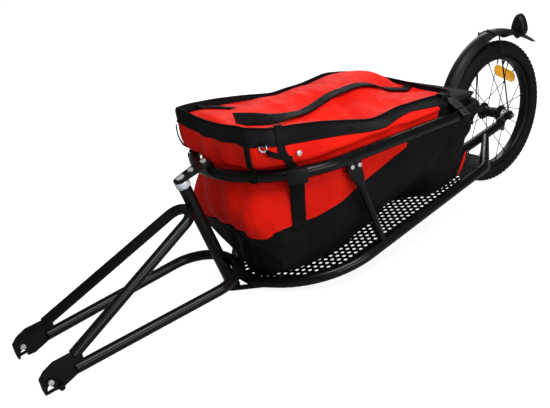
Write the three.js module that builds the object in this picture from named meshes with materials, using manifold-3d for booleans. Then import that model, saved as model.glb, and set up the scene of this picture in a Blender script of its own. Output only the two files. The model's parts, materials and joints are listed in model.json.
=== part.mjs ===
// Single wheel touring trailer: a low cargo frame on one 16 inch wheel, towed by a steering fork.
// Millimetres. X points to the towing bike, Y to the trailer's left, Z up.
// It stands parked, on its wheel and the tips of its two hitch hooks.
import * as THREE from "three";
import { mergeVertices } from "three/addons/utils/BufferGeometryUtils.js";
import Module from "manifold-3d";

const wasm = await Module();
wasm.setup();

// Driving dimensions: clearances
const seat = 0.3;
const running = 0.6;
const overrun = 20;

// Driving dimensions: wheel
const wheelRadius = 200;
const tyreWidth = 49;
const tyreWall = 3;
const beadRadius = 152.8;
const beadHalfWidth = 10.4;
const rimHalfWidth = 13;
const rimFlangeWall = 2;
const rimFlangeRadius = 158.5;
const rimSeatRadius = 152.3;
const rimShoulderRadius = 151;
const rimInnerRadius = 148;
const rimInnerHalfWidth = 7;
const hubHalfLength = 38;
const hubNoseRadius = 17;
const hubBarrelRadius = 14.5;
const flangeRadius = 24;
const flangeOffset = 29;
const flangeWall = 3.6;
const axleRadius = 5;
const axleHalfLength = 72;
const coneRadius = 8;
const bearingRadius = 13;
const bearingWidth = 8.4;
const spokeRadius = 1.1;
const spokeCircleRadius = 20.5;
const valveRadius = 2.6;
const valveLength = 12;
const reflectorLength = 104;
const reflectorHeight = 31;
const reflectorWall = 3;
const reflectorRadiusAt = 112.5;

// Driving dimensions: frame tubes
const frameTube = 12.7;
const loopRearHalfWidth = 166;
const loopRearBend = 258;
const loopBendRadius = 34;
const loopShoulderHalfWidth = 185.4;
const loopShoulderX = 806;
const loopShoulderRadius = 210;
const loopNoseX = 896.5;
const loopNoseHalfWidth = 32;
const loopNoseRadius = 36;
const loopEndX = 102;
const loopEndTube = 9;
const deckHeightAtAxle = 188.4;
const deckDropShare = 0.196;
const railHeightAtAxle = 321;
const railDropShare = 0.035;
const railOverhang = 7.6;
const railRearX = 288;
const railRearBend = 70;
const railFrontX = 943;
const stayHalfSpacing = 53;
const staySpread = 4;
const stayFrontX = 231.4;
const stayRearX = 30;
const crossTube = 9.5;
const crossTubeX = 240;

// Driving dimensions: deck plate
const deckWall = 2;
const deckRearX = 212;
const deckNotchX = 232;
const deckNotchHalfWidth = 70;
const holePitch = 36;
const holeRadius = 10.4;
const holeZoneRearX = 322;
const holeMargin = 8;

// Driving dimensions: struts and posts
const strutTube = 8;
const strutFootX = 623;
const strutTopX = 712;
const tabWidth = 38;
const tabHeight = 30;
const tabWall = 4;
const tabBoltSpacing = 20;
const tabBoltRadius = 3;
const tabBoltHeadRadius = 5.2;
const tabBoltHeadHeight = 4;
const postTube = 8;
const postHalfSpacing = 64;

// Driving dimensions: axle plates
const plateWall = 5;
const plateHalfGap = 50;
const platePivotRadius = 12;
const plateLength = 41;
const plateTail = 50;
const nutAcross = 9;
const nutHeight = 6;
const nutFlangeRadius = 13.5;
const nutFlangeWall = 3;
const eyeletRadius = 9;
const eyeletWall = 1.9;

// Driving dimensions: fender and rear reflector
const fenderGap = 32;
const fenderTuck = 9;
const fenderWidth = 56;
const fenderFrontWidth = 46;
const fenderDrop = 11;
const fenderFrontDrop = 17;
const fenderSkirt = 15;
const fenderWall = 2;
const fenderFlare = 22;
const fenderTailWidth = 14;
const bandWidth = 12;
const bandWall = 2;
const bandEar = 16;
const stayWire = 2;
const housingWidth = 46;
const housingHeight = 50;
const housingDepth = 22;
const lensRim = 3;
const lensPocket = 5;
const lensDome = 4;

// Driving dimensions: steering axis
const pivotFootX = 925;
const pivotFootZ = 34;
const pivotLean = THREE.MathUtils.degToRad(17.94);
const sleeveRadius = 13.5;
const sleeveStart = -3;
const sleeveEnd = 248;
const pinRadius = 6;
const pinHeadRadius = 10;
const pinHeadHeight = 4;
const pinNutHeight = 6;
const collarRadius = 15.5;
const collarHeight = 15;
const washerRadius = 14.5;
const washerHeight = 2.4;

// Driving dimensions: towing fork, forward and upward of the axis foot
const forkTube = 11.1;
const lowerBowHeight = 37.6;
const lowerBowRadius = 87;
const lowerBowHalfWidth = 92;
const lowerBowSetback = 20.4;
const upperBowHeight = 200.6;
const upperBowRadius = 33;
const upperBowHalfWidth = 30;
const upperBowAhead = 17.5;
const hitchAhead = 439;
const hitchDrop = 22.3;
const hitchPlateY = 77;
const legEndBack = 52;
const lowerLegEndRise = 15;
const upperLegEndRise = 43;

// Driving dimensions: pivot brackets
const topPlateWall = 4.5;
const topPlateRadius = 15.5;
const saddleSetback = 61;
const saddleLength = 20;
const saddleWidth = 40;
const saddleDepth = 14;
const armBoltSetback = 28;
const armBoltRadius = 4;
const armBoltHeadRadius = 6.5;
const armBoltHeadHeight = 4.5;
const yokeHeight = 21.5;
const yokeFloor = 8;
const yokeRadius = 16;
const yokeArmWall = 6;
const yokeArmHeight = 9.5;
const yokeArmZ = 6;
const yokeArmReach = 84;
const yokeArmRoot = 8;
const yokeArmSpread = 56;

// Driving dimensions: hitch plates and latches
const hitchWall = 6;
const hookSlotRadius = 5.6;
const hookTipDrop = 11.7;
const hookTipLength = 6;
const heelDrop = 10.2;
const heelBack = 22;
const nosePlateAhead = 16.5;
const nosePlateRise = 23;
const platePeakRise = 46;
const platePeakBack = 14;
const plateShoulderRise = 35.5;
const plateRearBack = 68;
const plateRearBottom = 11;
const latchPivotBack = 1.4;
const latchPivotRise = 12.8;
const latchPinRadius = 3;
const latchPinHeadRadius = 5.4;
const latchPinHeadHeight = 4;
const latchWall = 2.6;
const latchHubRadius = 6.6;
const latchKnobBack = 15.6;
const latchKnobDrop = 16;
const latchNoseAhead = 7.5;
const latchNoseDrop = 19.4;
const latchNoseRadius = 3;
const knobRadius = 5.6;
const knobHeight = 10;

// Driving dimensions: bag and straps
const bagRearX = 306;
const bagFrontX = 927;
const bagFloorFrontX = 862;
const bagLowFrontX = 880;
const bagWaistFrontX = 915;
const bagFloorInset = 42.4;
const bagLowInset = 37;
const bagWaistInset = 28;
const bagRailInset = 15;
const bagShoulderInset = 9;
const bagBandInset = 26;
const bagRimInset = 42;
const bagLowRise = 88;
const bagRailBand = 15;
const bagShoulderRise = 30;
const bagBandRise = 66;
const bagRimRise = 98;
const bagShoulderRearX = 300;
const bagBandRearX = 320;
const bagBandFrontX = 920;
const bagRimRearX = 345;
const bagRimFrontX = 902;
const coverInset = 14;
const coverWall = 5;
const coverCrown = 14;
const wideStrapWidth = 34;
const narrowStrapWidth = 18;
const strapWall = 2;
const strapStandOff = 6.6;
const buckleLength = 40;
const buckleHeight = 30;
const buckleWall = 7;

// Counts and angles
const tubeSides = 12;
const bendStep = THREE.MathUtils.degToRad(18);
const wheelSegments = 40;
const spokeCount = 20;
const spokeTwist = THREE.MathUtils.degToRad(62);
const reflectorAngle = THREE.MathUtils.degToRad(115);
const valveAngle = THREE.MathUtils.degToRad(110);
const fenderStart = THREE.MathUtils.degToRad(-8);
const fenderFlareStart = THREE.MathUtils.degToRad(104);
const fenderEnd = THREE.MathUtils.degToRad(138);
const flapAngle = THREE.MathUtils.degToRad(111);
const flapSpread = THREE.MathUtils.degToRad(11);
const wideStrapAngle = THREE.MathUtils.degToRad(61);
const narrowStrapAngle = THREE.MathUtils.degToRad(37);
const bandAngle = THREE.MathUtils.degToRad(84);
const housingAngle = THREE.MathUtils.degToRad(118.6);

// Materials
const finish = (color, roughness, metalness) =>
  new THREE.MeshStandardMaterial({ color, roughness, metalness });
const blackPaint = () => finish(0x111113, 0.3, 0.4);
const blackPlastic = () => finish(0x17171a, 0.5, 0);
const zinc = () => finish(0xc9ccd0, 0.3, 1);
const rubber = () => finish(0x161616, 0.85, 0);
const redFabric = () => finish(0xd8281c, 0.9, 0);
const blackFabric = () => finish(0x18181c, 0.95, 0);
const webbing = () => finish(0x101012, 0.9, 0);
const amber = () => finish(0xf0a818, 0.25, 0);
const redLens = () => finish(0xc01212, 0.2, 0);

// Sizes that follow from others
const fenderRadius = wheelRadius + fenderGap;
const railHalfWidth = loopShoulderHalfWidth + railOverhang;
const sides = [
  ["left", 1],
  ["right", -1],
];

// Solids: a closed mesh as a solid that can be joined or cut, and back
function solid(geometry, matrix) {
  const bare = geometry.index ? geometry.toNonIndexed() : geometry.clone();
  bare.deleteAttribute("normal");
  bare.deleteAttribute("uv");
  if (matrix) bare.applyMatrix4(matrix);
  const merged = mergeVertices(bare, 1e-4);
  return new wasm.Manifold(
    new wasm.Mesh({
      numProp: 3,
      vertProperties: merged.attributes.position.array,
      triVerts: new Uint32Array(merged.index.array),
    }),
  );
}

const largest = (body) => body.decompose().sort((a, b) => b.volume() - a.volume())[0];

function meshGeometry(body) {
  const data = body.getMesh();
  const count = data.numProp;
  const positions = new Float32Array(data.numVert * 3);
  for (let i = 0; i < data.numVert; i += 1) {
    positions.set(data.vertProperties.subarray(i * count, i * count + 3), i * 3);
  }
  const geometry = new THREE.BufferGeometry();
  geometry.setAttribute("position", new THREE.BufferAttribute(positions, 3));
  geometry.setIndex(new THREE.BufferAttribute(data.triVerts, 1));
  return geometry;
}

function piece(name, geometry, material, parent) {
  const mesh = new THREE.Mesh(geometry, material);
  mesh.name = name;
  parent.add(mesh);
  return mesh;
}

function group(parent, x = 0, y = 0, z = 0, pitch = 0) {
  const made = new THREE.Group();
  made.position.set(x, y, z);
  made.rotation.y = pitch;
  parent.add(made);
  return made;
}

const matrixAt = (x, y, z, pitch = 0, heading = 0) =>
  new THREE.Matrix4()
    .makeRotationZ(heading)
    .multiply(new THREE.Matrix4().makeRotationY(pitch))
    .setPosition(x, y, z);

// A bent tube's centreline, which steps from one station to the next
class Route extends THREE.Curve {
  constructor(stations) {
    super();
    this.stations = stations;
  }

  getUtoTmapping(u) {
    return u;
  }

  getPoint(t, target = new THREE.Vector3()) {
    const last = this.stations.length - 1;
    const at = Math.min(Math.floor(t * last), last - 1);
    return target.lerpVectors(this.stations[at], this.stations[at + 1], t * last - at);
  }
}

function circleShape(radius, sides = tubeSides) {
  const points = [];
  for (let i = 0; i < sides; i += 1) {
    const angle = (2 * Math.PI * i) / sides;
    points.push(new THREE.Vector2(radius * Math.cos(angle), radius * Math.sin(angle)));
  }
  return new THREE.Shape(points);
}

function tube(stations, radius, sides = tubeSides) {
  return new THREE.ExtrudeGeometry(circleShape(radius, sides), {
    steps: stations.length - 1,
    extrudePath: new Route(stations),
    bevelEnabled: false,
  });
}

// A polyline of corners in 3D, with each inner corner rounded to a bend radius of its own or a shared one
function bends(corners, bendRadii) {
  const radii = [bendRadii].flat();
  const stations = [corners[0].clone()];
  for (let i = 1; i < corners.length - 1; i += 1) {
    const before = corners[i - 1].clone().sub(corners[i]).normalize();
    const after = corners[i + 1].clone().sub(corners[i]).normalize();
    const half = before.angleTo(after) / 2;
    const radius = radii[Math.min(i, radii.length) - 1];
    const cut = radius / Math.tan(half);
    const middle = before.clone().add(after).normalize();
    const centre = corners[i].clone().addScaledVector(middle, radius / Math.sin(half));
    const sweep = Math.PI - 2 * half;
    const steps = Math.max(2, Math.ceil((sweep / bendStep) * Math.sqrt(radius / loopBendRadius)));
    const from = corners[i].clone().addScaledVector(before, cut).sub(centre);
    const axis = before.clone().cross(after).normalize();
    for (let k = 0; k <= steps; k += 1) {
      const turned = from.clone().applyAxisAngle(axis, -(sweep * k) / steps);
      stations.push(turned.add(centre));
    }
  }
  stations.push(corners[corners.length - 1].clone());
  return stations;
}

function arcStations(centreX, radiusX, radiusY, from, to, steps, z = 0) {
  const stations = [];
  for (let k = 0; k <= steps; k += 1) {
    const angle = from + ((to - from) * k) / steps;
    const x = centreX + radiusX * Math.cos(angle);
    stations.push(new THREE.Vector3(x, radiusY * Math.sin(angle), z));
  }
  return stations;
}

// A skin over rings of points, with its ends capped, or closed into a loop
function skin(rings, looped = false, capOf = capFaces) {
  const size = rings[0].length;
  const positions = rings.flat().flatMap((point) => [point.x, point.y, point.z]);
  const index = [];
  const last = looped ? rings.length : rings.length - 1;
  for (let r = 0; r < last; r += 1) {
    const next = (r + 1) % rings.length;
    for (let k = 0; k < size; k += 1) {
      const a = r * size + k;
      const b = r * size + ((k + 1) % size);
      const c = next * size + k;
      const d = next * size + ((k + 1) % size);
      index.push(a, b, c, b, d, c);
    }
  }
  if (!looped) {
    for (const [ring, start, flip] of [
      [rings[0], 0, false],
      [rings[rings.length - 1], (rings.length - 1) * size, true],
    ]) {
      for (const face of capOf(ring)) {
        const [a, b, c] = face.map((k) => start + k);
        index.push(...(flip ? [a, b, c] : [a, c, b]));
      }
    }
  }
  const geometry = new THREE.BufferGeometry();
  geometry.setAttribute("position", new THREE.Float32BufferAttribute(positions, 3));
  geometry.setIndex(index);
  return geometry;
}

// The triangles that fill a nearly flat ring, in the ring's own order of turning
function capFaces(ring) {
  const normal = new THREE.Vector3();
  ring.forEach((point, k) => {
    normal.add(point.clone().cross(ring[(k + 1) % ring.length]));
  });
  normal.normalize();
  const across = ring[1].clone().sub(ring[0]).normalize();
  const up = normal.clone().cross(across).normalize();
  const flat = ring.map((point) => new THREE.Vector2(point.dot(across), point.dot(up)));
  return THREE.ShapeUtils.triangulateShape(flat, []);
}

// The triangles that fill a ring whose second half mirrors its first, in rungs from side to side
function ladderFaces(ring) {
  const last = ring.length / 2;
  const faces = [];
  for (let k = 0; k < last; k += 1) {
    const across = ring.length - k;
    if (k > 0) faces.push([k, k + 1, across]);
    if (k < last - 1) faces.push([k + 1, across - 1, across % ring.length]);
  }
  return faces;
}

// A plate in the XZ plane, its middle at y = 0 and its wall along Y
function uprightPlate(shape, wall) {
  const geometry = new THREE.ExtrudeGeometry(shape, { depth: wall, bevelEnabled: false });
  geometry.rotateX(Math.PI / 2);
  geometry.translate(0, wall / 2, 0);
  return geometry;
}

function flatPlate(shape, wall, bevel = 0) {
  const geometry = new THREE.ExtrudeGeometry(shape, {
    depth: wall,
    bevelEnabled: bevel > 0,
    bevelSize: bevel,
    bevelThickness: bevel,
    bevelSegments: 1,
  });
  geometry.translate(0, 0, -wall / 2);
  return geometry;
}

function roundHole(x, y, radius, sides = tubeSides) {
  const points = circleShape(radius, sides).getPoints();
  return new THREE.Path(points.map((point) => new THREE.Vector2(point.x + x, point.y + y)));
}

// A rod along Y, from one place to another
function rodAlongY(radius, from, to, sides = tubeSides) {
  const geometry = new THREE.CylinderGeometry(radius, radius, to - from, sides);
  geometry.translate(0, (from + to) / 2, 0);
  return geometry;
}

const turned = (profile, segments) =>
  new THREE.LatheGeometry(
    profile.map(([radius, y]) => new THREE.Vector2(radius, y)),
    segments,
  );

// A bolt along Y: head outward, shank through what it holds
function boltAlongY(headRadius, headHeight, shankRadius, grip) {
  const head = rodAlongY(headRadius, 0, headHeight, 6);
  const shank = rodAlongY(shankRadius, -grip, headHeight / 2, 8);
  return meshGeometry(solid(head).add(solid(shank)));
}

// The part's origin is on the ground, midway between the tyre's back and the hitch plates' nose
const trailer = new THREE.Group();
const layout = new THREE.Group();
layout.position.x = (wheelRadius - pivotFootX - hitchAhead - nosePlateAhead) / 2;
trailer.add(layout);

const deckPitch = Math.atan(deckDropShare);
const railPitch = Math.atan(railDropShare);
const frame = group(layout);
const deckFrame = group(frame, 0, 0, deckHeightAtAxle, deckPitch);
const railFrame = group(frame, 0, 0, railHeightAtAxle, railPitch);
const axleFrame = group(frame, 0, 0, wheelRadius);
const wheel = group(layout, 0, 0, wheelRadius);
const pivotFrame = group(frame, pivotFootX, 0, pivotFootZ, pivotLean);
const fork = group(layout, pivotFootX, 0, pivotFootZ, pivotLean);

const deckMatrix = matrixAt(0, 0, deckHeightAtAxle, deckPitch);
const railMatrix = matrixAt(0, 0, railHeightAtAxle, railPitch);
const deckZ = (x) => deckHeightAtAxle - deckDropShare * x;
const railZ = (x) => railHeightAtAxle - railDropShare * x;

// Tyre: a hollow casing, open to the rim between its beads
function addTyre() {
  const crown = wheelRadius - tyreWidth / 2;
  const outer = [];
  const inner = [];
  for (let k = 0; k <= 6; k += 1) {
    const angle = THREE.MathUtils.degToRad(-129 + 43 * k);
    const half = tyreWidth / 2;
    outer.push([crown + half * Math.cos(angle), half * Math.sin(angle)]);
  }
  for (let k = 0; k <= 4; k += 1) {
    const angle = THREE.MathUtils.degToRad(124 - 62 * k);
    const half = tyreWidth / 2 - tyreWall;
    inner.push([crown + half * Math.cos(angle), half * Math.sin(angle)]);
  }
  const beadInner = beadHalfWidth - tyreWall;
  const lap = rimFlangeRadius + running;
  const profile = [
    [beadRadius, -beadHalfWidth],
    [lap, -beadHalfWidth],
    ...outer,
    [lap, beadHalfWidth],
    [beadRadius, beadHalfWidth],
    [beadRadius, beadInner],
    [lap + tyreWall, beadInner],
    ...inner,
    [lap + tyreWall, -beadInner],
    [beadRadius, -beadInner],
    [beadRadius, -beadHalfWidth],
  ];
  piece("tyre", turned(profile, wheelSegments), rubber(), wheel);
}

function addRim() {
  const inside = rimHalfWidth - rimFlangeWall;
  const profile = [
    [rimFlangeRadius, -rimHalfWidth],
    [rimFlangeRadius, -inside],
    [rimSeatRadius, -inside],
    [rimSeatRadius, inside],
    [rimFlangeRadius, inside],
    [rimFlangeRadius, rimHalfWidth],
    [rimShoulderRadius, rimHalfWidth],
    [rimInnerRadius, rimInnerHalfWidth],
    [rimInnerRadius, -rimInnerHalfWidth],
    [rimShoulderRadius, -rimHalfWidth],
    [rimFlangeRadius, -rimHalfWidth],
  ];
  piece("wheel_rim", turned(profile, wheelSegments), blackPaint(), wheel);
}

// The rim is drawn with flats, whose middles lie a little nearer the hub
const rimFlatRadius = rimInnerRadius * Math.cos(Math.PI / wheelSegments);

// Hub shell and its crossed spokes, hooked in the flanges and reaching the rim
function spokeEnds(index) {
  const side = index % 2 === 0 ? 1 : -1;
  const leading = index % 4 < 2 ? 1 : -1;
  const rimAngle = (2 * Math.PI * (index + 0.5)) / spokeCount;
  const hubAngle = rimAngle + leading * spokeTwist;
  const hubEnd = new THREE.Vector3(
    spokeCircleRadius * Math.cos(hubAngle),
    side * flangeOffset,
    spokeCircleRadius * Math.sin(hubAngle),
  );
  const reach = rimFlatRadius - 2 * seat;
  const rimEnd = new THREE.Vector3(
    reach * Math.cos(rimAngle),
    side * spokeRadius,
    reach * Math.sin(rimAngle),
  );
  return [hubEnd, rimEnd];
}

function addHubAndSpokes() {
  const seatDepth = bearingWidth + running;
  const boreEnd = hubHalfLength - seatDepth;
  const bore = axleRadius + running;
  const half = flangeWall / 2;
  const side = (sign) => [
    [bore, sign * boreEnd],
    [bearingRadius + seat, sign * boreEnd],
    [bearingRadius + seat, sign * hubHalfLength],
    [hubNoseRadius, sign * hubHalfLength],
    [hubNoseRadius, sign * (flangeOffset + half)],
    [flangeRadius, sign * (flangeOffset + half)],
    [flangeRadius, sign * (flangeOffset - half)],
    [hubBarrelRadius, sign * (flangeOffset - 2 * flangeWall)],
  ];
  const profile = [...side(-1), ...side(1).reverse(), side(-1)[0]];
  let body = solid(turned(profile, 20));
  for (let i = 0; i < spokeCount; i += 1) {
    body = body.add(solid(tube(spokeEnds(i), spokeRadius, 5)));
  }
  piece("hub_and_spokes", meshGeometry(body), zinc(), wheel);

  for (const [name, sign] of sides) {
    const ring = turned(
      [
        [axleRadius + running, -bearingWidth / 2],
        [bearingRadius, -bearingWidth / 2],
        [bearingRadius, bearingWidth / 2],
        [axleRadius + running, bearingWidth / 2],
        [axleRadius + running, -bearingWidth / 2],
      ],
      16,
    );
    const mesh = piece(`hub_bearing_${name}`, ring, zinc(), wheel);
    mesh.position.y = sign * (hubHalfLength - bearingWidth / 2);
  }
}

const valveBodyShare = 0.7;
const valveCapStartShare = 0.75;
const valveCapShare = 0.7;
function addWheelTrim() {
  // A bevelled bar between the two fans of spokes, following the left one
  const cone = Math.atan((flangeOffset - spokeRadius) / (rimInnerRadius - spokeCircleRadius));
  const shape = new THREE.Shape();
  const halfLength = reflectorLength / 2;
  const halfHeight = reflectorHeight / 2;
  const cheekShare = 0.72;
  shape.moveTo(-halfLength, -halfHeight / 2);
  shape.lineTo(-halfLength * cheekShare, -halfHeight);
  shape.lineTo(halfLength * cheekShare, -halfHeight);
  shape.lineTo(halfLength, -halfHeight / 2);
  shape.lineTo(halfLength, halfHeight / 2);
  shape.lineTo(halfLength * cheekShare, halfHeight);
  shape.lineTo(-halfLength * cheekShare, halfHeight);
  shape.lineTo(-halfLength, halfHeight / 2);
  shape.closePath();
  const holder = group(wheel, 0, 0, 0, Math.PI / 2 - reflectorAngle);
  const spokeY = (rimInnerRadius - reflectorRadiusAt) * Math.tan(cone) + spokeRadius;
  const inset = (spokeRadius + 4 * seat) / Math.cos(cone) + reflectorWall / 2;
  const tilted = group(holder, 0, spokeY - inset, reflectorRadiusAt);
  tilted.rotation.x = cone;
  piece("spoke_reflector", uprightPlate(shape, reflectorWall), amber(), tilted);

  const stem = turned(
    [
      [0, 0],
      [valveRadius, 0],
      [valveRadius, valveLength * valveBodyShare],
      [valveRadius * valveCapShare, valveLength * valveCapStartShare],
      [valveRadius * valveCapShare, valveLength],
      [0, valveLength],
    ],
    8,
  );
  const valve = piece("valve_stem", stem, rubber(), group(wheel, 0, 0, 0, Math.PI / 2 - valveAngle));
  valve.rotation.x = -Math.PI / 2;
  valve.position.z = rimFlatRadius - seat;
}

// Lower loop: one tube, straight sides, an oval front and rear ends bent in to the wheel stays
const stayY = (x) =>
  stayHalfSpacing + (staySpread * (x - stayRearX)) / (stayFrontX - stayRearX);
const loopEndY = stayY(loopEndX);
const loopSideY = (x) => THREE.MathUtils.lerp(loopRearHalfWidth, loopShoulderHalfWidth,
  (x - loopRearBend) / (loopShoulderX - loopRearBend));

function loopHalf() {
  const corners = [
    new THREE.Vector3(loopEndX, loopEndY, 0),
    new THREE.Vector3(loopRearBend, loopRearHalfWidth, 0),
    new THREE.Vector3(loopShoulderX, loopShoulderHalfWidth, 0),
    new THREE.Vector3(loopNoseX, loopNoseHalfWidth, 0),
    new THREE.Vector3(loopNoseX, 0, 0),
  ];
  return bends(corners, [loopBendRadius, loopShoulderRadius, loopNoseRadius]);
}

function loopStations() {
  const half = loopHalf();
  const mirrored = half.slice(0, -1).reverse().map((p) => new THREE.Vector3(p.x, -p.y, p.z));
  return [...half, ...mirrored];
}

// The tube narrows from its rear bends to the ends on the wheel stays
function loopTube(outset) {
  const stations = loopStations();
  const radii = stations.map((p, k) => {
    const end = k === 0 || k === stations.length - 1;
    return (end ? loopEndTube : frameTube) + outset;
  });
  return skin(ringsAlong(stations, radii, tubeSides, false));
}

function stayStations(sign) {
  return [stayFrontX, stayRearX].map((x) => new THREE.Vector3(x, sign * stayY(x), 0));
}

function crossStations() {
  const drop = deckWall / 2 + seat + crossTube;
  return [-1, 1].map((sign) => new THREE.Vector3(crossTubeX, sign * loopRearHalfWidth, -drop));
}

function addLowerFrame() {
  const loopClear = solid(loopTube(seat));
  const crossClear = solid(tube(crossStations(), crossTube + seat));
  let loop = solid(loopTube(0));
  for (const [name, sign] of sides) {
    const clear = solid(tube(stayStations(sign), frameTube + seat));
    loop = loop.subtract(clear);
    const stay = solid(tube(stayStations(sign), frameTube)).subtract(crossClear);
    const plate = solid(axlePlateGeometry(plateWall + 2 * seat));
    const toDeck = deckMatrix.clone().invert();
    toDeck.multiply(matrixAt(0, sign * (plateHalfGap + plateWall / 2), wheelRadius));
    const slotted = stay.subtract(plate.transform(toDeck.elements));
    piece(`wheel_stay_${name}`, meshGeometry(slotted), blackPaint(), deckFrame);
  }
  piece("lower_loop", meshGeometry(loop), blackPaint(), deckFrame);
  const cross = solid(tube(crossStations(), crossTube)).subtract(loopClear);
  const middle = largest(cross);
  piece("rear_cross_tube", meshGeometry(middle), blackPaint(), deckFrame);
}

// Deck: a perforated sheet inside the loop, notched for the wheel stays
function deckOutline() {
  const slope = (loopRearHalfWidth - loopEndY) / (loopRearBend - loopEndX);
  return [
    new THREE.Vector3(deckNotchX, 0, 0),
    new THREE.Vector3(deckNotchX, deckNotchHalfWidth, 0),
    new THREE.Vector3(deckRearX, deckNotchHalfWidth, 0),
    new THREE.Vector3(deckRearX, loopEndY + (deckRearX - loopEndX) * slope, 0),
    ...loopHalf().filter((p) => p.x > deckRearX),
  ];
}

function mirroredShape(half) {
  const other = half.slice(1, -1).reverse().map((p) => new THREE.Vector3(p.x, -p.y, 0));
  return new THREE.Shape([...half, ...other].map((p) => new THREE.Vector2(p.x, p.y)));
}

// How far a point of the deck lies inside the loop's centreline, or 0 outside it
function depthInLoop(x, y) {
  const at = new THREE.Vector3(x, Math.abs(y), 0);
  const half = loopHalf();
  const spans = half.slice(1).map((end, k) => new THREE.Line3(half[k], end));
  const beside = spans.find((span) => span.start.x <= x && x < span.end.x);
  const along = beside ? (x - beside.start.x) / (beside.end.x - beside.start.x) : 0;
  if (!beside || at.y > beside.at(along, new THREE.Vector3()).y) return 0;
  const nearest = spans.map((span) =>
    span.closestPointToPoint(at, true, new THREE.Vector3()).distanceTo(at));
  return Math.min(...nearest);
}

function holeCentres() {
  const centres = [];
  const rowSpacing = (holePitch * Math.sqrt(3)) / 2;
  const margin = frameTube + holeMargin + holeRadius;
  const rows = Math.floor(loopShoulderHalfWidth / rowSpacing);
  for (let row = -rows; row <= rows; row += 1) {
    const y = row * rowSpacing;
    const offset = row % 2 === 0 ? 0 : holePitch / 2;
    for (let x = holeZoneRearX + offset; x < loopNoseX - margin; x += holePitch) {
      if (depthInLoop(x, y) >= margin) centres.push([x, y]);
    }
  }
  return centres;
}

function addDeck() {
  const shape = mirroredShape(deckOutline());
  for (const [x, y] of holeCentres()) shape.holes.push(roundHole(x, y, holeRadius, 6));
  const loopClear = solid(loopTube(seat));
  const plate = solid(flatPlate(shape, deckWall)).subtract(loopClear);
  piece("deck_plate", meshGeometry(largest(plate)), blackPaint(), deckFrame);
}

// Upper rail: a closed tube round the bag, half a circle at the front
function railStations() {
  const centreX = railFrontX - railHalfWidth;
  const front = arcStations(centreX, railHalfWidth, railHalfWidth, Math.PI / 2, -Math.PI / 2, 24);
  const rear = bends(
    [
      front[front.length - 1],
      new THREE.Vector3(railRearX, -railHalfWidth, 0),
      new THREE.Vector3(railRearX, railHalfWidth, 0),
      front[0],
    ],
    railRearBend,
  );
  return [...front, ...rear.slice(1, -1)];
}

function ringsAlong(stations, radii, sideCount, looped = true) {
  const count = stations.length;
  return stations.map((station, k) => {
    const ahead = looped ? stations[(k + 1) % count] : stations[Math.min(k + 1, count - 1)];
    const behind = looped ? stations[(k + count - 1) % count] : stations[Math.max(k - 1, 0)];
    const tangent = ahead.clone().sub(behind).normalize();
    const inward = new THREE.Vector3(0, 0, 1).cross(tangent);
    return circleShape(radii[k], sideCount)
      .getPoints()
      .slice(0, sideCount)
      .map((point) => {
        const rise = new THREE.Vector3(0, 0, point.y);
        return station.clone().addScaledVector(inward, point.x).add(rise);
      });
  });
}

function railTube(radius) {
  const stations = railStations();
  return skin(ringsAlong(stations, stations.map(() => radius), tubeSides), true);
}

function addRail() {
  piece("upper_rail", railTube(frameTube), blackPaint(), railFrame);
}

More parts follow.
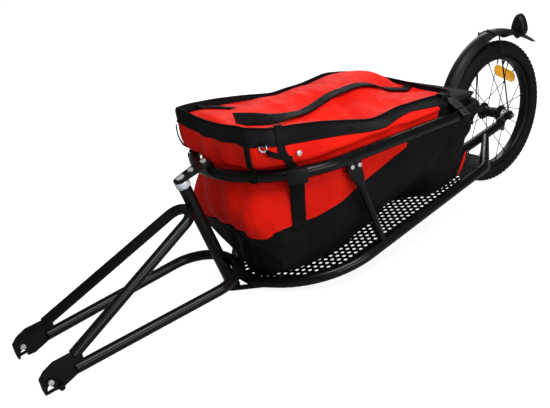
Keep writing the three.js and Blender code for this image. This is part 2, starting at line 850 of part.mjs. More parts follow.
// Side struts: a leaning tube from the loop to a flat end, bolted to a tab under the rail
function addStruts() {
  const railClear = solid(railTube(frameTube + seat), railMatrix);
  const loopClear = solid(loopTube(seat), deckMatrix);
  for (const [name, sign] of sides) {
    const tabZ = railZ(strutTopX) - frameTube - tabHeight / 2 + strutTube;
    const tabY = sign * (railHalfWidth - tabWall);
    const tabShape = new THREE.Shape([
      new THREE.Vector2(-tabWidth / 2, -tabHeight / 2 + strutTube / 2),
      new THREE.Vector2(-tabWidth / 4, -tabHeight / 2),
      new THREE.Vector2(tabWidth / 4, -tabHeight / 2),
      new THREE.Vector2(tabWidth / 2, -tabHeight / 2 + strutTube / 2),
      new THREE.Vector2(tabWidth / 2, tabHeight / 2),
      new THREE.Vector2(-tabWidth / 2, tabHeight / 2),
    ]);
    const boltX = [-tabBoltSpacing / 2, tabBoltSpacing / 2];
    for (const x of boltX) tabShape.holes.push(roundHole(x, 0, tabBoltRadius + seat, 8));
    const tab = solid(uprightPlate(tabShape, tabWall), matrixAt(strutTopX, tabY, tabZ));
    const hung = tab.subtract(railClear);
    const whole = largest(hung);
    piece(`rail_tab_${name}`, meshGeometry(whole), blackPaint(), frame);

    const flatY = tabY + sign * (tabWall + seat);
    const top = new THREE.Vector3(strutTopX, flatY, tabZ - tabHeight / 4);
    const footY = loopSideY(strutFootX / Math.cos(deckPitch));
    const foot = new THREE.Vector3(strutFootX, sign * footY, deckZ(strutFootX));
    const neck = top.clone().lerp(foot, tabHeight / top.distanceTo(foot) / 3);
    const flat = new THREE.Shape([
      new THREE.Vector2(-tabWidth / 2, -tabHeight / 4),
      new THREE.Vector2(-tabWidth / 3, -tabHeight / 2),
      new THREE.Vector2(tabWidth / 6, -tabHeight / 2),
      new THREE.Vector2(tabWidth / 2, -tabHeight / 4),
      new THREE.Vector2(tabWidth / 2, tabHeight / 4),
      new THREE.Vector2(-tabWidth / 2, tabHeight / 4),
    ]);
    for (const x of boltX) flat.holes.push(roundHole(x, 0, tabBoltRadius + seat, 8));
    const end = solid(uprightPlate(flat, tabWall), matrixAt(strutTopX, flatY, tabZ));
    const inward = solid(uprightPlate(tabBlock(), tabWidth), matrixAt(strutTopX,
      tabY - sign * (tabWidth / 2 - tabWall / 2 - seat), tabZ));
    const shaft = solid(tube([foot, neck], strutTube, 10)).subtract(loopClear);
    const strut = shaft.subtract(inward).add(end).subtract(railClear);
    const kept = largest(strut);
    piece(`side_strut_${name}`, meshGeometry(kept), blackPaint(), frame);

    boltX.forEach((x, k) => {
      const grip = 2 * tabWall + 2 * seat;
      const bolt = boltAlongY(tabBoltHeadRadius, tabBoltHeadHeight, tabBoltRadius, grip);
      const place = ["rear", "front"][k];
      const mesh = piece(`strut_bolt_${name}_${place}`, bolt, zinc(), frame);
      mesh.position.set(strutTopX + x, flatY + sign * (tabWall / 2 + seat), tabZ);
      if (sign < 0) mesh.rotation.z = Math.PI;
    });
  }
}

// The space that a tab takes inside the strut's line
function tabBlock() {
  return new THREE.Shape([
    new THREE.Vector2(-tabWidth, -tabHeight),
    new THREE.Vector2(tabWidth, -tabHeight),
    new THREE.Vector2(tabWidth, tabHeight),
    new THREE.Vector2(-tabWidth, tabHeight),
  ]);
}

// Rear posts: from the cross tube up to the rail's rear span
function addPosts() {
  const railClear = solid(railTube(frameTube + seat), railMatrix);
  const crossClear = solid(tube(crossStations(), crossTube + seat), deckMatrix);
  const deckClear = solid(flatPlate(mirroredShape([
    new THREE.Vector3(0, 0, 0),
    new THREE.Vector3(0, loopRearHalfWidth, 0),
    new THREE.Vector3(loopShoulderX, loopRearHalfWidth, 0),
    new THREE.Vector3(loopShoulderX, 0, 0),
  ]), deckWall + 2 * seat), deckMatrix);
  for (const [name, sign] of sides) {
    const foot = new THREE.Vector3(crossTubeX, sign * postHalfSpacing, deckZ(crossTubeX));
    const top = new THREE.Vector3(railRearX, sign * postHalfSpacing, railZ(railRearX));
    const post = solid(tube([foot, top], postTube, 10));
    const cut = post.subtract(railClear).subtract(crossClear).subtract(deckClear);
    const kept = largest(cut);
    piece(`rear_post_${name}`, meshGeometry(kept), blackPaint(), frame);
  }
}

// Axle plates: hold the wheel's axle between the ends of the stays
const plateArcShares = [1.15, 1, 0.82, 0.64, 0.46, 0.28];
const plateTailShares = [[1, -0.1], [0.96, -0.35], [0.56, -0.93], [0.36, -1], [0.33, -0.6], [0.18, -0.38]];

function axlePlateShape() {
  const back = platePivotRadius;
  const arc = plateArcShares.map((share) =>
    new THREE.Vector2(back * Math.cos(Math.PI * share), back * Math.sin(Math.PI * share)));
  const tail = plateTailShares.map(([x, z]) => new THREE.Vector2(plateTail * x, plateLength * z));
  const shape = new THREE.Shape([...arc, ...tail]);
  shape.holes.push(roundHole(0, 0, axleRadius + seat));
  return shape;
}

function axlePlateGeometry(wall) {
  return uprightPlate(axlePlateShape(), wall);
}

// A flanged nut along Y, its flange at y = 0
function flangedNut() {
  const bore = rodAlongY(axleRadius + seat, -overrun, overrun, 10);
  const flange = rodAlongY(nutFlangeRadius, 0, nutFlangeWall, 16);
  const hexagon = rodAlongY(nutAcross, 0, nutFlangeWall + nutHeight, 6);
  return meshGeometry(solid(flange).add(solid(hexagon)).subtract(solid(bore)));
}

function addAxle() {
  for (const [name, sign] of sides) {
    const plate = piece(`axle_plate_${name}`, axlePlateGeometry(plateWall), blackPaint(), axleFrame);
    plate.position.y = sign * (plateHalfGap + plateWall / 2);
    const nut = piece(`axle_nut_${name}`, flangedNut(), blackPaint(), axleFrame);
    const eyeletOuter = plateHalfGap + plateWall + seat + eyeletWall;
    nut.position.y = sign * (eyeletOuter + seat);
    if (sign < 0) nut.rotation.z = Math.PI;
  }
  const cone = plateHalfGap - seat;
  const coneStart = hubHalfLength + running;
  const axle = turned(
    [
      [0, -axleHalfLength],
      [axleRadius, -axleHalfLength],
      [axleRadius, -cone],
      [coneRadius, -cone],
      [coneRadius, -coneStart],
      [axleRadius, -coneStart],
      [axleRadius, coneStart],
      [coneRadius, coneStart],
      [coneRadius, cone],
      [axleRadius, cone],
      [axleRadius, axleHalfLength],
      [0, axleHalfLength],
    ],
    12,
  );
  piece("wheel_axle", axle, zinc(), axleFrame);
}

// Fender: a crowned blade round the wheel's front and top, with a flared, pointed tail
const onFender = (angle, radius, y) =>
  new THREE.Vector3(radius * Math.cos(angle), y, radius * Math.sin(angle));

const pastFlare = (angle) =>
  Math.max(0, (angle - fenderFlareStart) / (fenderEnd - fenderFlareStart));
const beforeBand = (angle) =>
  THREE.MathUtils.clamp((bandAngle - angle) / (bandAngle - fenderStart), 0, 1);

function fenderCrown(angle) {
  return fenderRadius + fenderFlare * pastFlare(angle) ** 2 - fenderTuck * beforeBand(angle);
}

// Half the width across the blade, and how far its edges lie below its crown
const tailDropShare = 0.9;
function fenderSection(angle) {
  const past = pastFlare(angle);
  const lead = Math.min(1, beforeBand(angle) * (bandAngle - fenderStart) / flapSpread);
  const front = THREE.MathUtils.lerp(fenderWidth, fenderFrontWidth, lead);
  const width = THREE.MathUtils.lerp(front, fenderTailWidth, past);
  const near = Math.max(0, 1 - Math.abs(angle - flapAngle) / flapSpread);
  const blade = THREE.MathUtils.lerp(fenderDrop, fenderFrontDrop, lead);
  return [width / 2, (blade + fenderSkirt * near) * (1 - past * tailDropShare)];
}

const acrossShares = [-1, -0.8, -0.45, 0, 0.45, 0.8, 1];

function fenderRing(angle, outset, wall, pinch = wall) {
  const [half, drop] = fenderSection(angle);
  const crown = fenderCrown(angle) + outset;
  const reach = half + outset;
  const outer = acrossShares.map((s) => onFender(angle, crown - drop * s * s, s * reach));
  const inner = acrossShares.map((s) =>
    onFender(angle, crown - wall - drop * s * s, s * (reach - pinch * Math.abs(s))));
  return [...outer, ...inner.reverse()];
}

function addFender() {
  const rings = [];
  const steps = 24;
  for (let k = 0; k <= steps; k += 1) {
    rings.push(fenderRing(fenderStart + ((fenderEnd - fenderStart) * k) / steps, 0, fenderWall));
  }
  const blade = skin(rings);
  piece("fender", blade, blackPlastic(), axleFrame);

  const bandHalf = bandWidth / 2 / fenderRadius;
  const band = [bandAngle - bandHalf, bandAngle + bandHalf].map((angle) =>
    fenderRing(angle, seat + bandWall, bandWall));
  piece("fender_band", skin(band), blackPlastic(), axleFrame);
}

function addFenderStays() {
  const [half, drop] = fenderSection(bandAngle);
  for (const [name, sign] of sides) {
    const eyeletY = plateHalfGap + plateWall + seat + eyeletWall / 2;
    const topY = half + bandWall + 2 * seat + stayWire;
    const radius = fenderCrown(bandAngle) - drop - bandWall;
    const top = onFender(bandAngle, radius + bandEar / 2, sign * topY);
    const bottom = new THREE.Vector3(0, sign * eyeletY, 0);
    const reach = eyeletRadius - stayWire / 2;
    const foot = bottom.clone().lerp(top, reach / top.distanceTo(bottom));
    const wire = solid(tube([foot, top], stayWire, 6));
    const ringShape = circleShape(eyeletRadius);
    ringShape.holes.push(roundHole(0, 0, axleRadius + seat));
    const eyelet = solid(uprightPlate(ringShape, eyeletWall), matrixAt(0, sign * eyeletY, 0));
    const plateClear = solid(rodAlongY(eyeletRadius + overrun, 0, plateHalfGap + plateWall + seat));
    const turnedClear = sign > 0 ? plateClear : plateClear.mirror([0, 1, 0]);
    const stay = wire.subtract(turnedClear).add(eyelet);
    piece(`fender_stay_${name}`, meshGeometry(stay), zinc(), axleFrame);
  }
  // The bolt that clamps the band on the crown
  const boltGroup = group(axleFrame, 0, 0, 0, Math.PI / 2 - bandAngle);
  const seatAt = fenderCrown(bandAngle) + 2 * seat + bandWall;
  const head = new THREE.CylinderGeometry(tabBoltHeadRadius, tabBoltHeadRadius,
    tabBoltHeadHeight, 8);
  head.rotateX(Math.PI / 2);
  const bolt = piece("fender_band_bolt", head, zinc(), boltGroup);
  bolt.position.z = seatAt + tabBoltHeadHeight / 2;
}

// Rear reflector: a domed housing on the fender's tail and its lens, facing rearward
function domeShape(width, height) {
  const half = width / 2;
  const domeShares = [[0.6, 0], [0.9, 0.14], [1, 0.27], [0.96, 0.42], [0.82, 0.62], [0.62, 0.8],
    [0.4, 0.92], [0.16, 1]];
  const side = domeShares.map(([across, up]) => new THREE.Vector2(half * across, height * up));
  return [...side, ...side.map((p) => new THREE.Vector2(-p.x, p.y)).reverse()];
}

function loft(outline, layers) {
  const middle = outline.reduce((sum, p) => sum.add(p), new THREE.Vector2());
  middle.divideScalar(outline.length);
  return skin(layers.map(([x, share]) =>
    outline.map((p) => {
      const at = p.clone().sub(middle).multiplyScalar(share).add(middle);
      return new THREE.Vector3(x, at.x, at.y);
    })));
}

function addRearReflector() {
  const half = housingDepth / 2;
  const crown = fenderCrown(housingAngle);
  const foot = fenderDrop;
  const stand = group(axleFrame, crown * Math.cos(housingAngle), 0,
    crown * Math.sin(housingAngle) - foot);
  const outline = domeShape(housingWidth, housingHeight + foot);
  const body = solid(loft(outline, [
    [-half, 0.94],
    [-half + lensRim, 1],
    [half / 2, 0.97],
    [half, 0.72],
  ]));
  const pocketDepth = -half + lensPocket;
  const pocket = solid(loft(outline, [[-half - overrun, 0.8], [pocketDepth, 0.8]]));
  const space = [];
  const spread = (2 * housingWidth) / fenderRadius;
  for (let k = 0; k <= 8; k += 1) {
    const angle = housingAngle + spread * (k / 8 - 0.5);
    space.push(fenderRing(angle, seat, fenderWall + housingWidth, seat));
  }
  const toStand = matrixAt(-stand.position.x, 0, -stand.position.z);
  const clear = solid(skin(space), toStand);
  const shell = largest(body.subtract(pocket).subtract(clear));
  piece("reflector_housing", meshGeometry(shell), blackPlastic(), stand);

  const lens = solid(loft(outline, [
    [-half - lensDome, 0.5],
    [-half - lensDome / 2, 0.7],
    [-half, 0.79],
    [pocketDepth - seat, 0.79],
  ]));
  piece("reflector_lens", meshGeometry(largest(lens.subtract(clear))), redLens(), stand);
}

// Offsets that are level and upright, in the leaning axis's own frame
const levelX = (ahead, rise) => ahead * Math.cos(pivotLean) - rise * Math.sin(pivotLean);
const levelZ = (ahead, rise) => ahead * Math.sin(pivotLean) + rise * Math.cos(pivotLean);
const pivotMatrix = matrixAt(pivotFootX, 0, pivotFootZ, pivotLean);
const toPivot = pivotMatrix.clone().invert();

function ringSolid(outer, bore, from, to, segments = 20) {
  return turned(
    [[bore, from], [outer, from], [outer, to], [bore, to], [bore, from]],
    segments,
  ).rotateX(Math.PI / 2);
}

// Steering pivot: a pin through the sleeve, held by a plate above and a yoke below
const washerTop = sleeveStart - running;
const yokeTop = washerTop - washerHeight - seat;
const nutTop = yokeTop - yokeFloor - seat;
const collarStart = sleeveEnd + running;
const topPlateStart = collarStart + collarHeight + seat;
const pinHeadStart = topPlateStart + topPlateWall + seat;

function addPivot() {
  const bore = pinRadius + seat;
  piece("pivot_collar", ringSolid(collarRadius, bore, collarStart, collarStart + collarHeight),
    zinc(), pivotFrame);
  piece("pivot_washer", ringSolid(washerRadius, bore, washerTop - washerHeight, washerTop),
    zinc(), pivotFrame);
  const pinEnd = nutTop - pinNutHeight - seat;
  const pin = solid(ringless(pinRadius, pinEnd, pinHeadStart + pinHeadHeight / 2, 16));
  const head = solid(ringless(pinHeadRadius, pinHeadStart, pinHeadStart + pinHeadHeight, 6));
  piece("pivot_pin", meshGeometry(pin.add(head)), zinc(), pivotFrame);
  const nut = new THREE.ExtrudeGeometry(hexagonWithBore(pinHeadRadius - seat, bore), {
    depth: pinNutHeight,
    bevelEnabled: false,
  });
  piece("pivot_nut", nut, zinc(), pivotFrame).position.z = nutTop - pinNutHeight;
}

function ringless(radius, from, to, segments) {
  const geometry = new THREE.CylinderGeometry(radius, radius, to - from, segments);
  geometry.rotateX(Math.PI / 2);
  geometry.translate(0, 0, (from + to) / 2);
  return geometry;
}

function hexagonWithBore(radius, bore) {
  const shape = circleShape(radius, 6);
  shape.holes.push(roundHole(0, 0, bore, 12));
  return shape;
}

function addTopBracket() {
  const railClear = solid(railTube(frameTube + seat), toPivot.clone().multiply(railMatrix));
  const outline = new THREE.Shape([
    new THREE.Vector2(-saddleSetback - saddleLength / 2, -saddleWidth / 2),
    new THREE.Vector2(-saddleSetback + saddleLength / 2, -saddleWidth / 2),
    ...[-0.5, -0.3, -0.1, 0.1, 0.3, 0.5].map((share) => new THREE.Vector2(
      topPlateRadius * Math.cos(Math.PI * share), topPlateRadius * Math.sin(Math.PI * share))),
    new THREE.Vector2(-saddleSetback + saddleLength / 2, saddleWidth / 2),
    new THREE.Vector2(-saddleSetback - saddleLength / 2, saddleWidth / 2),
  ]);
  const plate = new THREE.ExtrudeGeometry(outline, { depth: topPlateWall, bevelEnabled: false });
  const block = new THREE.BoxGeometry(saddleLength, saddleWidth, saddleDepth + topPlateWall / 2);
  block.translate(-saddleSetback, 0, -saddleDepth / 2 + topPlateWall / 4);
  const lift = matrixAt(0, 0, topPlateStart);
  const drill = (x, radius) =>
    solid(ringless(radius, -overrun, overrun, 12), matrixAt(x, 0, topPlateStart));
  const bracket = solid(plate, lift)
    .add(solid(block, lift))
    .subtract(railClear)
    .subtract(drill(0, pinRadius + seat))
    .subtract(drill(-armBoltSetback, armBoltRadius + seat))
    .subtract(drill(-saddleSetback, armBoltRadius + seat));
  piece("top_bracket", meshGeometry(largest(bracket)), blackPaint(), pivotFrame);

  for (const [name, setback] of [["front", armBoltSetback], ["rear", saddleSetback]]) {
    const seatAt = topPlateStart + topPlateWall + seat;
    const shank = solid(ringless(armBoltRadius, topPlateStart, seatAt + armBoltHeadHeight / 2, 10));
    const head = solid(ringless(armBoltHeadRadius, seatAt, seatAt + armBoltHeadHeight, 8));
    const bolt = piece(`bracket_bolt_${name}`, meshGeometry(shank.add(head)), zinc(), pivotFrame);
    bolt.position.x = -setback;
  }
}

function addYoke() {
  const deckToPivot = toPivot.clone().multiply(deckMatrix);
  const loopClear = solid(loopTube(seat), deckToPivot);
  const loopInside = solid(flatPlate(mirroredShape(deckOutline()), 2 * frameTube + overrun), deckToPivot);
  let yoke = solid(ringless(yokeRadius, yokeTop - yokeHeight, yokeTop, 20));
  for (const [, sign] of sides) {
    const arm = new THREE.BoxGeometry(yokeArmReach, yokeArmWall, yokeArmHeight);
    arm.translate(-yokeArmReach / 2, 0, 0);
    const heading = -sign * Math.atan2(yokeArmSpread, yokeArmReach);
    const place = matrixAt(pivotFootX, sign * yokeArmRoot / 2, yokeArmZ, 0, heading);
    yoke = yoke.add(solid(arm, toPivot.clone().multiply(place)));
  }
  const bottom = yokeTop - yokeHeight;
  const bore = solid(ringless(pinRadius + seat, bottom - overrun, overrun, 16));
  const washerSpace = solid(ringless(yokeRadius + overrun, yokeTop, yokeTop + overrun, 20));
  const pocket = solid(ringless(pinHeadRadius + 2 * seat, bottom - overrun, yokeTop - yokeFloor, 20));
  const cut = yoke.subtract(loopClear).subtract(loopInside).subtract(bore)
    .subtract(washerSpace).subtract(pocket);
  piece("bottom_bracket", meshGeometry(largest(cut)), blackPaint(), pivotFrame);
}

// Towing fork: a sleeve on the pin, with two bowed tubes that run to the hitch plates
const hitchX = levelX(hitchAhead, -hitchDrop);
const hitchZ = levelZ(hitchAhead, -hitchDrop);

function forkTubeStations(bow, halfWidth, radius, endRise) {
  const end = (sign) => new THREE.Vector3(
    hitchX + levelX(-legEndBack, endRise), sign * hitchPlateY, hitchZ + levelZ(-legEndBack, endRise));
  const corner = (sign) => new THREE.Vector3(bow[0], sign * halfWidth, bow[1]);
  return bends([end(1), corner(1), corner(-1), end(-1)], radius);
}

function hitchPlateShape() {
  const points = [
    [hookSlotRadius + hookTipLength / 3, -hookTipDrop],
    [hookSlotRadius + hookTipLength, -hookTipDrop],
    [nosePlateAhead - hookTipLength / 3, 0],
    [nosePlateAhead, nosePlateRise],
    [nosePlateAhead / 3, plateShoulderRise],
    [-platePeakBack, platePeakRise],
    [-plateRearBack, platePeakRise + hookTipLength],
    [-plateRearBack, plateRearBottom],
    [-heelBack, -heelDrop],
    [-hookSlotRadius - hookTipLength / 3, -heelDrop],
  ];
  const shape = new THREE.Shape(points.map(([x, z]) => new THREE.Vector2(x, z)));
  for (const share of [1, 0.8, 0.6, 0.4, 0.2, 0]) {
    shape.lineTo(hookSlotRadius * Math.cos(Math.PI * share), hookSlotRadius * Math.sin(Math.PI * share));
  }
  shape.closePath();
  shape.holes.push(roundHole(-latchPivotBack, latchPivotRise, latchPinRadius + seat));
  return shape;
}

const hitch = group(fork, hitchX, 0, hitchZ, -pivotLean);

function addFork() {
  const sleeveClear = solid(ringless(sleeveRadius + seat, sleeveStart - overrun,
    sleeveEnd + overrun, 20));
  piece("steering_sleeve",
    ringSolid(sleeveRadius, pinRadius + running, sleeveStart, sleeveEnd), blackPaint(), fork);
  const plateClears = sides.map(([, sign]) =>
    solid(uprightPlate(hitchPlateShape(), hitchWall + 2 * seat),
      matrixAt(hitchX, sign * hitchPlateY, hitchZ, -pivotLean)));
  const bows = [
    ["upper", [upperBowAhead, upperBowHeight], upperBowHalfWidth, upperBowRadius, upperLegEndRise],
    ["lower", [-lowerBowSetback, lowerBowHeight], lowerBowHalfWidth, lowerBowRadius, lowerLegEndRise],
  ];
  for (const [name, bow, halfWidth, radius, rise] of bows) {
    const bent = solid(tube(forkTubeStations(bow, halfWidth, radius, rise), forkTube));
    let cut = bent.subtract(sleeveClear);
    for (const clear of plateClears) cut = cut.subtract(clear);
    piece(`${name}_wishbone`, meshGeometry(largest(cut)), blackPaint(), fork);
  }
  for (const [name, sign] of sides) {
    const plate = piece(`hitch_plate_${name}`, uprightPlate(hitchPlateShape(), hitchWall),
      blackPaint(), hitch);
    plate.position.y = sign * hitchPlateY;
    addLatch(name, sign);
  }
}

function capsule(from, to, radiusFrom, radiusTo, wall) {
  const steps = 5;
  const heading = Math.atan2(to[1] - from[1], to[0] - from[0]);
  const points = [];
  for (const [end, radius, turn] of [[from, radiusFrom, 1], [to, radiusTo, -1]]) {
    for (let k = 0; k <= steps; k += 1) {
      const angle = heading + (turn * Math.PI) / 2 + (Math.PI * k) / steps;
      points.push(new THREE.Vector2(end[0] + radius * Math.cos(angle), end[1] + radius * Math.sin(angle)));
    }
  }
  return solid(uprightPlate(new THREE.Shape(points), wall));
}

// Latch: a lever outside the hitch plate whose nose closes the slot from below
function addLatch(name, sign) {
  const knobAt = [-latchKnobBack, -latchKnobDrop];
  const noseAt = [latchNoseAhead, -latchNoseDrop];
  const lever = capsule([0, 0], knobAt, latchHubRadius, knobRadius, latchWall)
    .add(capsule(knobAt, noseAt, latchNoseRadius, latchNoseRadius, latchWall))
    .subtract(solid(rodAlongY(latchPinRadius + seat, -overrun, overrun, 10)));
  const knob = rodAlongY(knobRadius, 0, sign * knobHeight, 10);
  knob.translate(knobAt[0], 0, knobAt[1]);
  const body = lever.add(solid(sign > 0 ? knob : flipped(knob)));
  const outer = hitchPlateY + hitchWall / 2 + seat + latchWall / 2;
  const latch = piece(`latch_${name}`, meshGeometry(body), blackPaint(), hitch);
  latch.position.set(-latchPivotBack, sign * outer, latchPivotRise);

  const inner = hitchPlateY - hitchWall / 2 - seat;
  const far = outer + latchWall / 2 + seat;
  const pin = turned(
    [
      [0, inner - latchPinHeadHeight],
      [latchPinHeadRadius, inner - latchPinHeadHeight],
      [latchPinHeadRadius, inner],
      [latchPinRadius, inner],
      [latchPinRadius, far],
      [latchPinHeadRadius, far],
      [latchPinHeadRadius, far + latchPinHeadHeight],
      [0, far + latchPinHeadHeight],
    ],
    10,
  );
  const mesh = piece(`latch_pin_${name}`, pin, zinc(), hitch);
  mesh.position.set(-latchPivotBack, 0, latchPivotRise);
  if (sign < 0) mesh.rotation.z = Math.PI;
}

// Turns a geometry's faces round, after its length was given backward
function flipped(geometry) {
  const index = geometry.index.array;
  for (let i = 0; i < index.length; i += 3) {
    [index[i + 1], index[i + 2]] = [index[i + 2], index[i + 1]];
  }
  return geometry;
}

// Bag: rows of outline rings, from the deck up past the rail to the rim
// Each outline is half of a ring: shares of its length from the rear, and of its half width
const roundShares = [[0, 0], [0, 0.74], [0.03, 0.92], [0.1, 0.995], [0.2, 1], [0.32, 1], [0.5, 1],
  [0.68, 0.995], [0.82, 0.925], [0.92, 0.69], [0.975, 0.4], [0.995, 0.2], [1, 0]];
const floorShares = [[0, 0], [0, 0.74], [0.03, 0.92], [0.1, 0.97], [0.2, 0.92], [0.32, 0.5], [0.5, 0.62],
  [0.68, 0.73], [0.8, 0.68], [0.9, 0.52], [0.96, 0.34], [0.99, 0.17], [1, 0]];
const lowShares = [[0, 0], [0, 0.74], [0.03, 0.92], [0.1, 0.995], [0.2, 1], [0.32, 1], [0.5, 1],
  [0.68, 1], [0.82, 0.985], [0.93, 0.94], [0.99, 0.82], [0.985, 0.5], [0.985, 0]];
const waistShares = [[0, 0], [0, 0.74], [0.03, 0.92], [0.1, 0.995], [0.2, 1], [0.32, 1], [0.5, 1],
  [0.68, 1], [0.82, 0.98], [0.92, 0.89], [0.975, 0.76], [1, 0.5], [1, 0]];
const shoulderShares = [[0, 0], [0, 0.8], [0.03, 0.98], [0.1, 1.04], [0.2, 1.03], [0.32, 1], [0.5, 1],
  [0.68, 1], [0.82, 0.97], [0.92, 0.86], [0.975, 0.64], [1, 0.36], [1, 0]];
const bandShares = [[0, 0], [0, 0.8], [0.03, 0.98], [0.1, 1.02], [0.2, 1], [0.32, 1], [0.5, 1],
  [0.68, 1], [0.82, 1], [0.92, 0.94], [0.975, 0.82], [1, 0.6], [1, 0]];
const rimShares = [[0, 0], [0, 0.8], [0.03, 0.98], [0.1, 1.01], [0.2, 1], [0.32, 1], [0.5, 1],
  [0.68, 1], [0.82, 1], [0.92, 1], [0.985, 0.99], [1, 0.9], [1, 0]];
const rimRiseShares = [0.46, 0.46, 0.5, 0.55, 0.6, 0.62, 0.58, 0.73, 0.85, 0.93, 0.98, 1, 1];

function bagRing(shares, rearX, frontX, halfWidth, heightAt) {
  const half = shares.map(([along, across], k) => {
    const x = THREE.MathUtils.lerp(rearX, frontX, along);
    return new THREE.Vector3(x, -halfWidth * across, heightAt(x, k));
  });
  const mirrored = half.slice(1, -1).reverse().map((p) => new THREE.Vector3(p.x, -p.y, p.z));
  return [...half, ...mirrored];
}

const rimRise = (k) => bagRimRise * rimRiseShares[k];

function bagRows() {
  const floorRise = (deckWall / 2 + seat) / Math.cos(deckPitch);
  const flank = (inset) => railHalfWidth - inset;
  const belowRail = (x) => railZ(x) - bagRailBand;
  return {
    floor: bagRing(floorShares, bagRearX, bagFloorFrontX, loopShoulderHalfWidth - bagFloorInset,
      (x) => deckZ(x) + floorRise),
    low: bagRing(lowShares, bagRearX, bagLowFrontX, flank(bagLowInset),
      (x) => deckZ(x) + floorRise + bagLowRise),
    waist: bagRing(waistShares, bagRearX, bagWaistFrontX, flank(bagWaistInset),
      (x) => (deckZ(x) + bagLowRise + belowRail(x)) / 2),
    underRail: bagRing(roundShares, bagRearX, bagFrontX, flank(bagRailInset), belowRail),
    overRail: bagRing(roundShares, bagRearX, bagFrontX, flank(bagRailInset),
      (x) => railZ(x) + bagRailBand),
    shoulder: bagRing(shoulderShares, bagShoulderRearX, bagFrontX, flank(bagShoulderInset),
      (x) => railZ(x) + bagShoulderRise),
    band: bagRing(bandShares, bagBandRearX, bagBandFrontX, flank(bagBandInset),
      (x, k) => railZ(x) + THREE.MathUtils.lerp(bagShoulderRise, rimRise(k), bagBandRise / bagRimRise)),
    rim: bagRing(rimShares, bagRimRearX, bagRimFrontX, flank(bagRimInset),
      (x, k) => railZ(x) + rimRise(k)),
  };
}

// The rim's outline drawn in toward the middle line, at a height above the rim
function rimRow(rise, inset, drawnIn) {
  const half = (railHalfWidth - bagRimInset - inset) * drawnIn;
  return bagRing(rimShares, bagRimRearX, bagRimFrontX, half,
    (x, k) => railZ(x) + rimRise(k) + rise);
}

const spineShare = 0.04;
const middleShare = 0.6;
const crownShare = 0.7;

function addBag() {
  const rows = [...Object.values(bagRows()), rimRow(0, 0, middleShare), rimRow(0, 0, spineShare)];
  piece("cargo_bag", skin(rows, false, ladderFaces), blackFabric(), frame);

  const top = seat + coverWall;
  const cover = [
    rimRow(seat, coverInset, spineShare),
    rimRow(seat, coverInset, 1),
    rimRow(top, coverInset, 1),
    rimRow(top + coverCrown * crownShare, coverInset, middleShare),
    rimRow(top + coverCrown, coverInset, spineShare),
  ];
  piece("bag_cover", skin(cover, false, ladderFaces), redFabric(), frame);
}

function ribbon(path, wall, width) {
  const offset = (k, by) => {
    const before = path[Math.max(0, k - 1)];
    const after = path[Math.min(path.length - 1, k + 1)];
    const along = after.clone().sub(before).normalize();
    return new THREE.Vector2(path[k].x - along.y * by, path[k].y + along.x * by);
  };
  const outer = path.map((p, k) => offset(k, wall / 2));
  const inner = path.map((p, k) => offset(k, -wall / 2)).reverse();
  const geometry = new THREE.ExtrudeGeometry(new THREE.Shape([...outer, ...inner]), {
    depth: width,
    bevelEnabled: false,
  });
  geometry.translate(0, 0, -width / 2);
  geometry.rotateY(Math.PI / 2);
  geometry.rotateX(Math.PI / 2);
  return geometry;
}

// Straps: webbing from the bag's front flank, round the outside of the rail and up to the rim
const strapTopShare = 0.15;
const strapBendShares = [-0.2, -0.08, 0.04, 0.16, 0.28];

// How far out a ring lies under a strap on a heading from the rail's front bend, and how high
function ringAt(ring, angle, width) {
  const bendX = railFrontX - railHalfWidth;
  const half = ring.slice(0, ring.length / 2 + 1);
  const turned = half.map((p) => new THREE.Vector3(p.x - bendX, -p.y, p.z)
    .applyAxisAngle(new THREE.Vector3(0, 0, 1), -angle));
  const under = [-width / 2, 0, width / 2].flatMap((aside) =>
    turned.slice(1).flatMap((end, k) => {
      const start = turned[k];
      const crosses = (start.y - aside) * (end.y - aside) <= 0 && start.y !== end.y;
      return crosses ? [start.clone().lerp(end, (aside - start.y) / (end.y - start.y))] : [];
    }));
  const inside = turned.filter((p) => Math.abs(p.y) < width / 2);
  const all = [...under, ...inside].filter((p) => p.x > 0);
  const reach = Math.max(...all.map((p) => p.x));
  const rises = all.map((p) => p.z);
  return new THREE.Vector2(reach, (Math.min(...rises) + Math.max(...rises)) / 2);
}

function strapPath(angle, width, height) {
  const rows = bagRows();
  const off = new THREE.Vector2(strapStandOff, -height);
  const reach = frameTube + seat + strapWall / 2;
  const wide = reach / Math.cos((Math.PI * (strapBendShares[1] - strapBendShares[0])) / 2);
  const bend = strapBendShares.map((share) => new THREE.Vector2(
    railHalfWidth + wide * Math.cos(Math.PI * share), wide * Math.sin(Math.PI * share)));
  const over = (ring) => ringAt(ring, angle, width).add(off);
  const above = [rows.shoulder, rows.band, rows.rim].map(over);
  above[2].lerp(above[1], strapTopShare);
  return [over(rows.waist), ...bend, ...above];
}

function addStraps() {
  const bendX = railFrontX - railHalfWidth;
  const kinds = [
    ["wide", wideStrapAngle, wideStrapWidth],
    ["narrow", narrowStrapAngle, narrowStrapWidth],
  ];
  for (const [name, sign] of sides) {
    for (const [kind, angle, width] of kinds) {
      const x = bendX + railHalfWidth * Math.cos(angle);
      const holder = group(frame, bendX, 0, railZ(x));
      holder.rotation.z = sign * angle - Math.PI / 2;
      const strap = ribbon(strapPath(angle, width, railZ(x)), strapWall, width);
      piece(`${kind}_strap_${name}`, strap, webbing(), holder);
      if (kind === "wide") {
        const buckle = new THREE.BoxGeometry(buckleLength, buckleWall, buckleHeight);
        const outer = railHalfWidth + frameTube + 3 * seat + strapWall + buckleWall / 2;
        piece(`strap_buckle_${name}`, buckle, blackPlastic(), holder).position.y = outer;
      }
    }
  }
}

trailer.updateMatrixWorld(true);

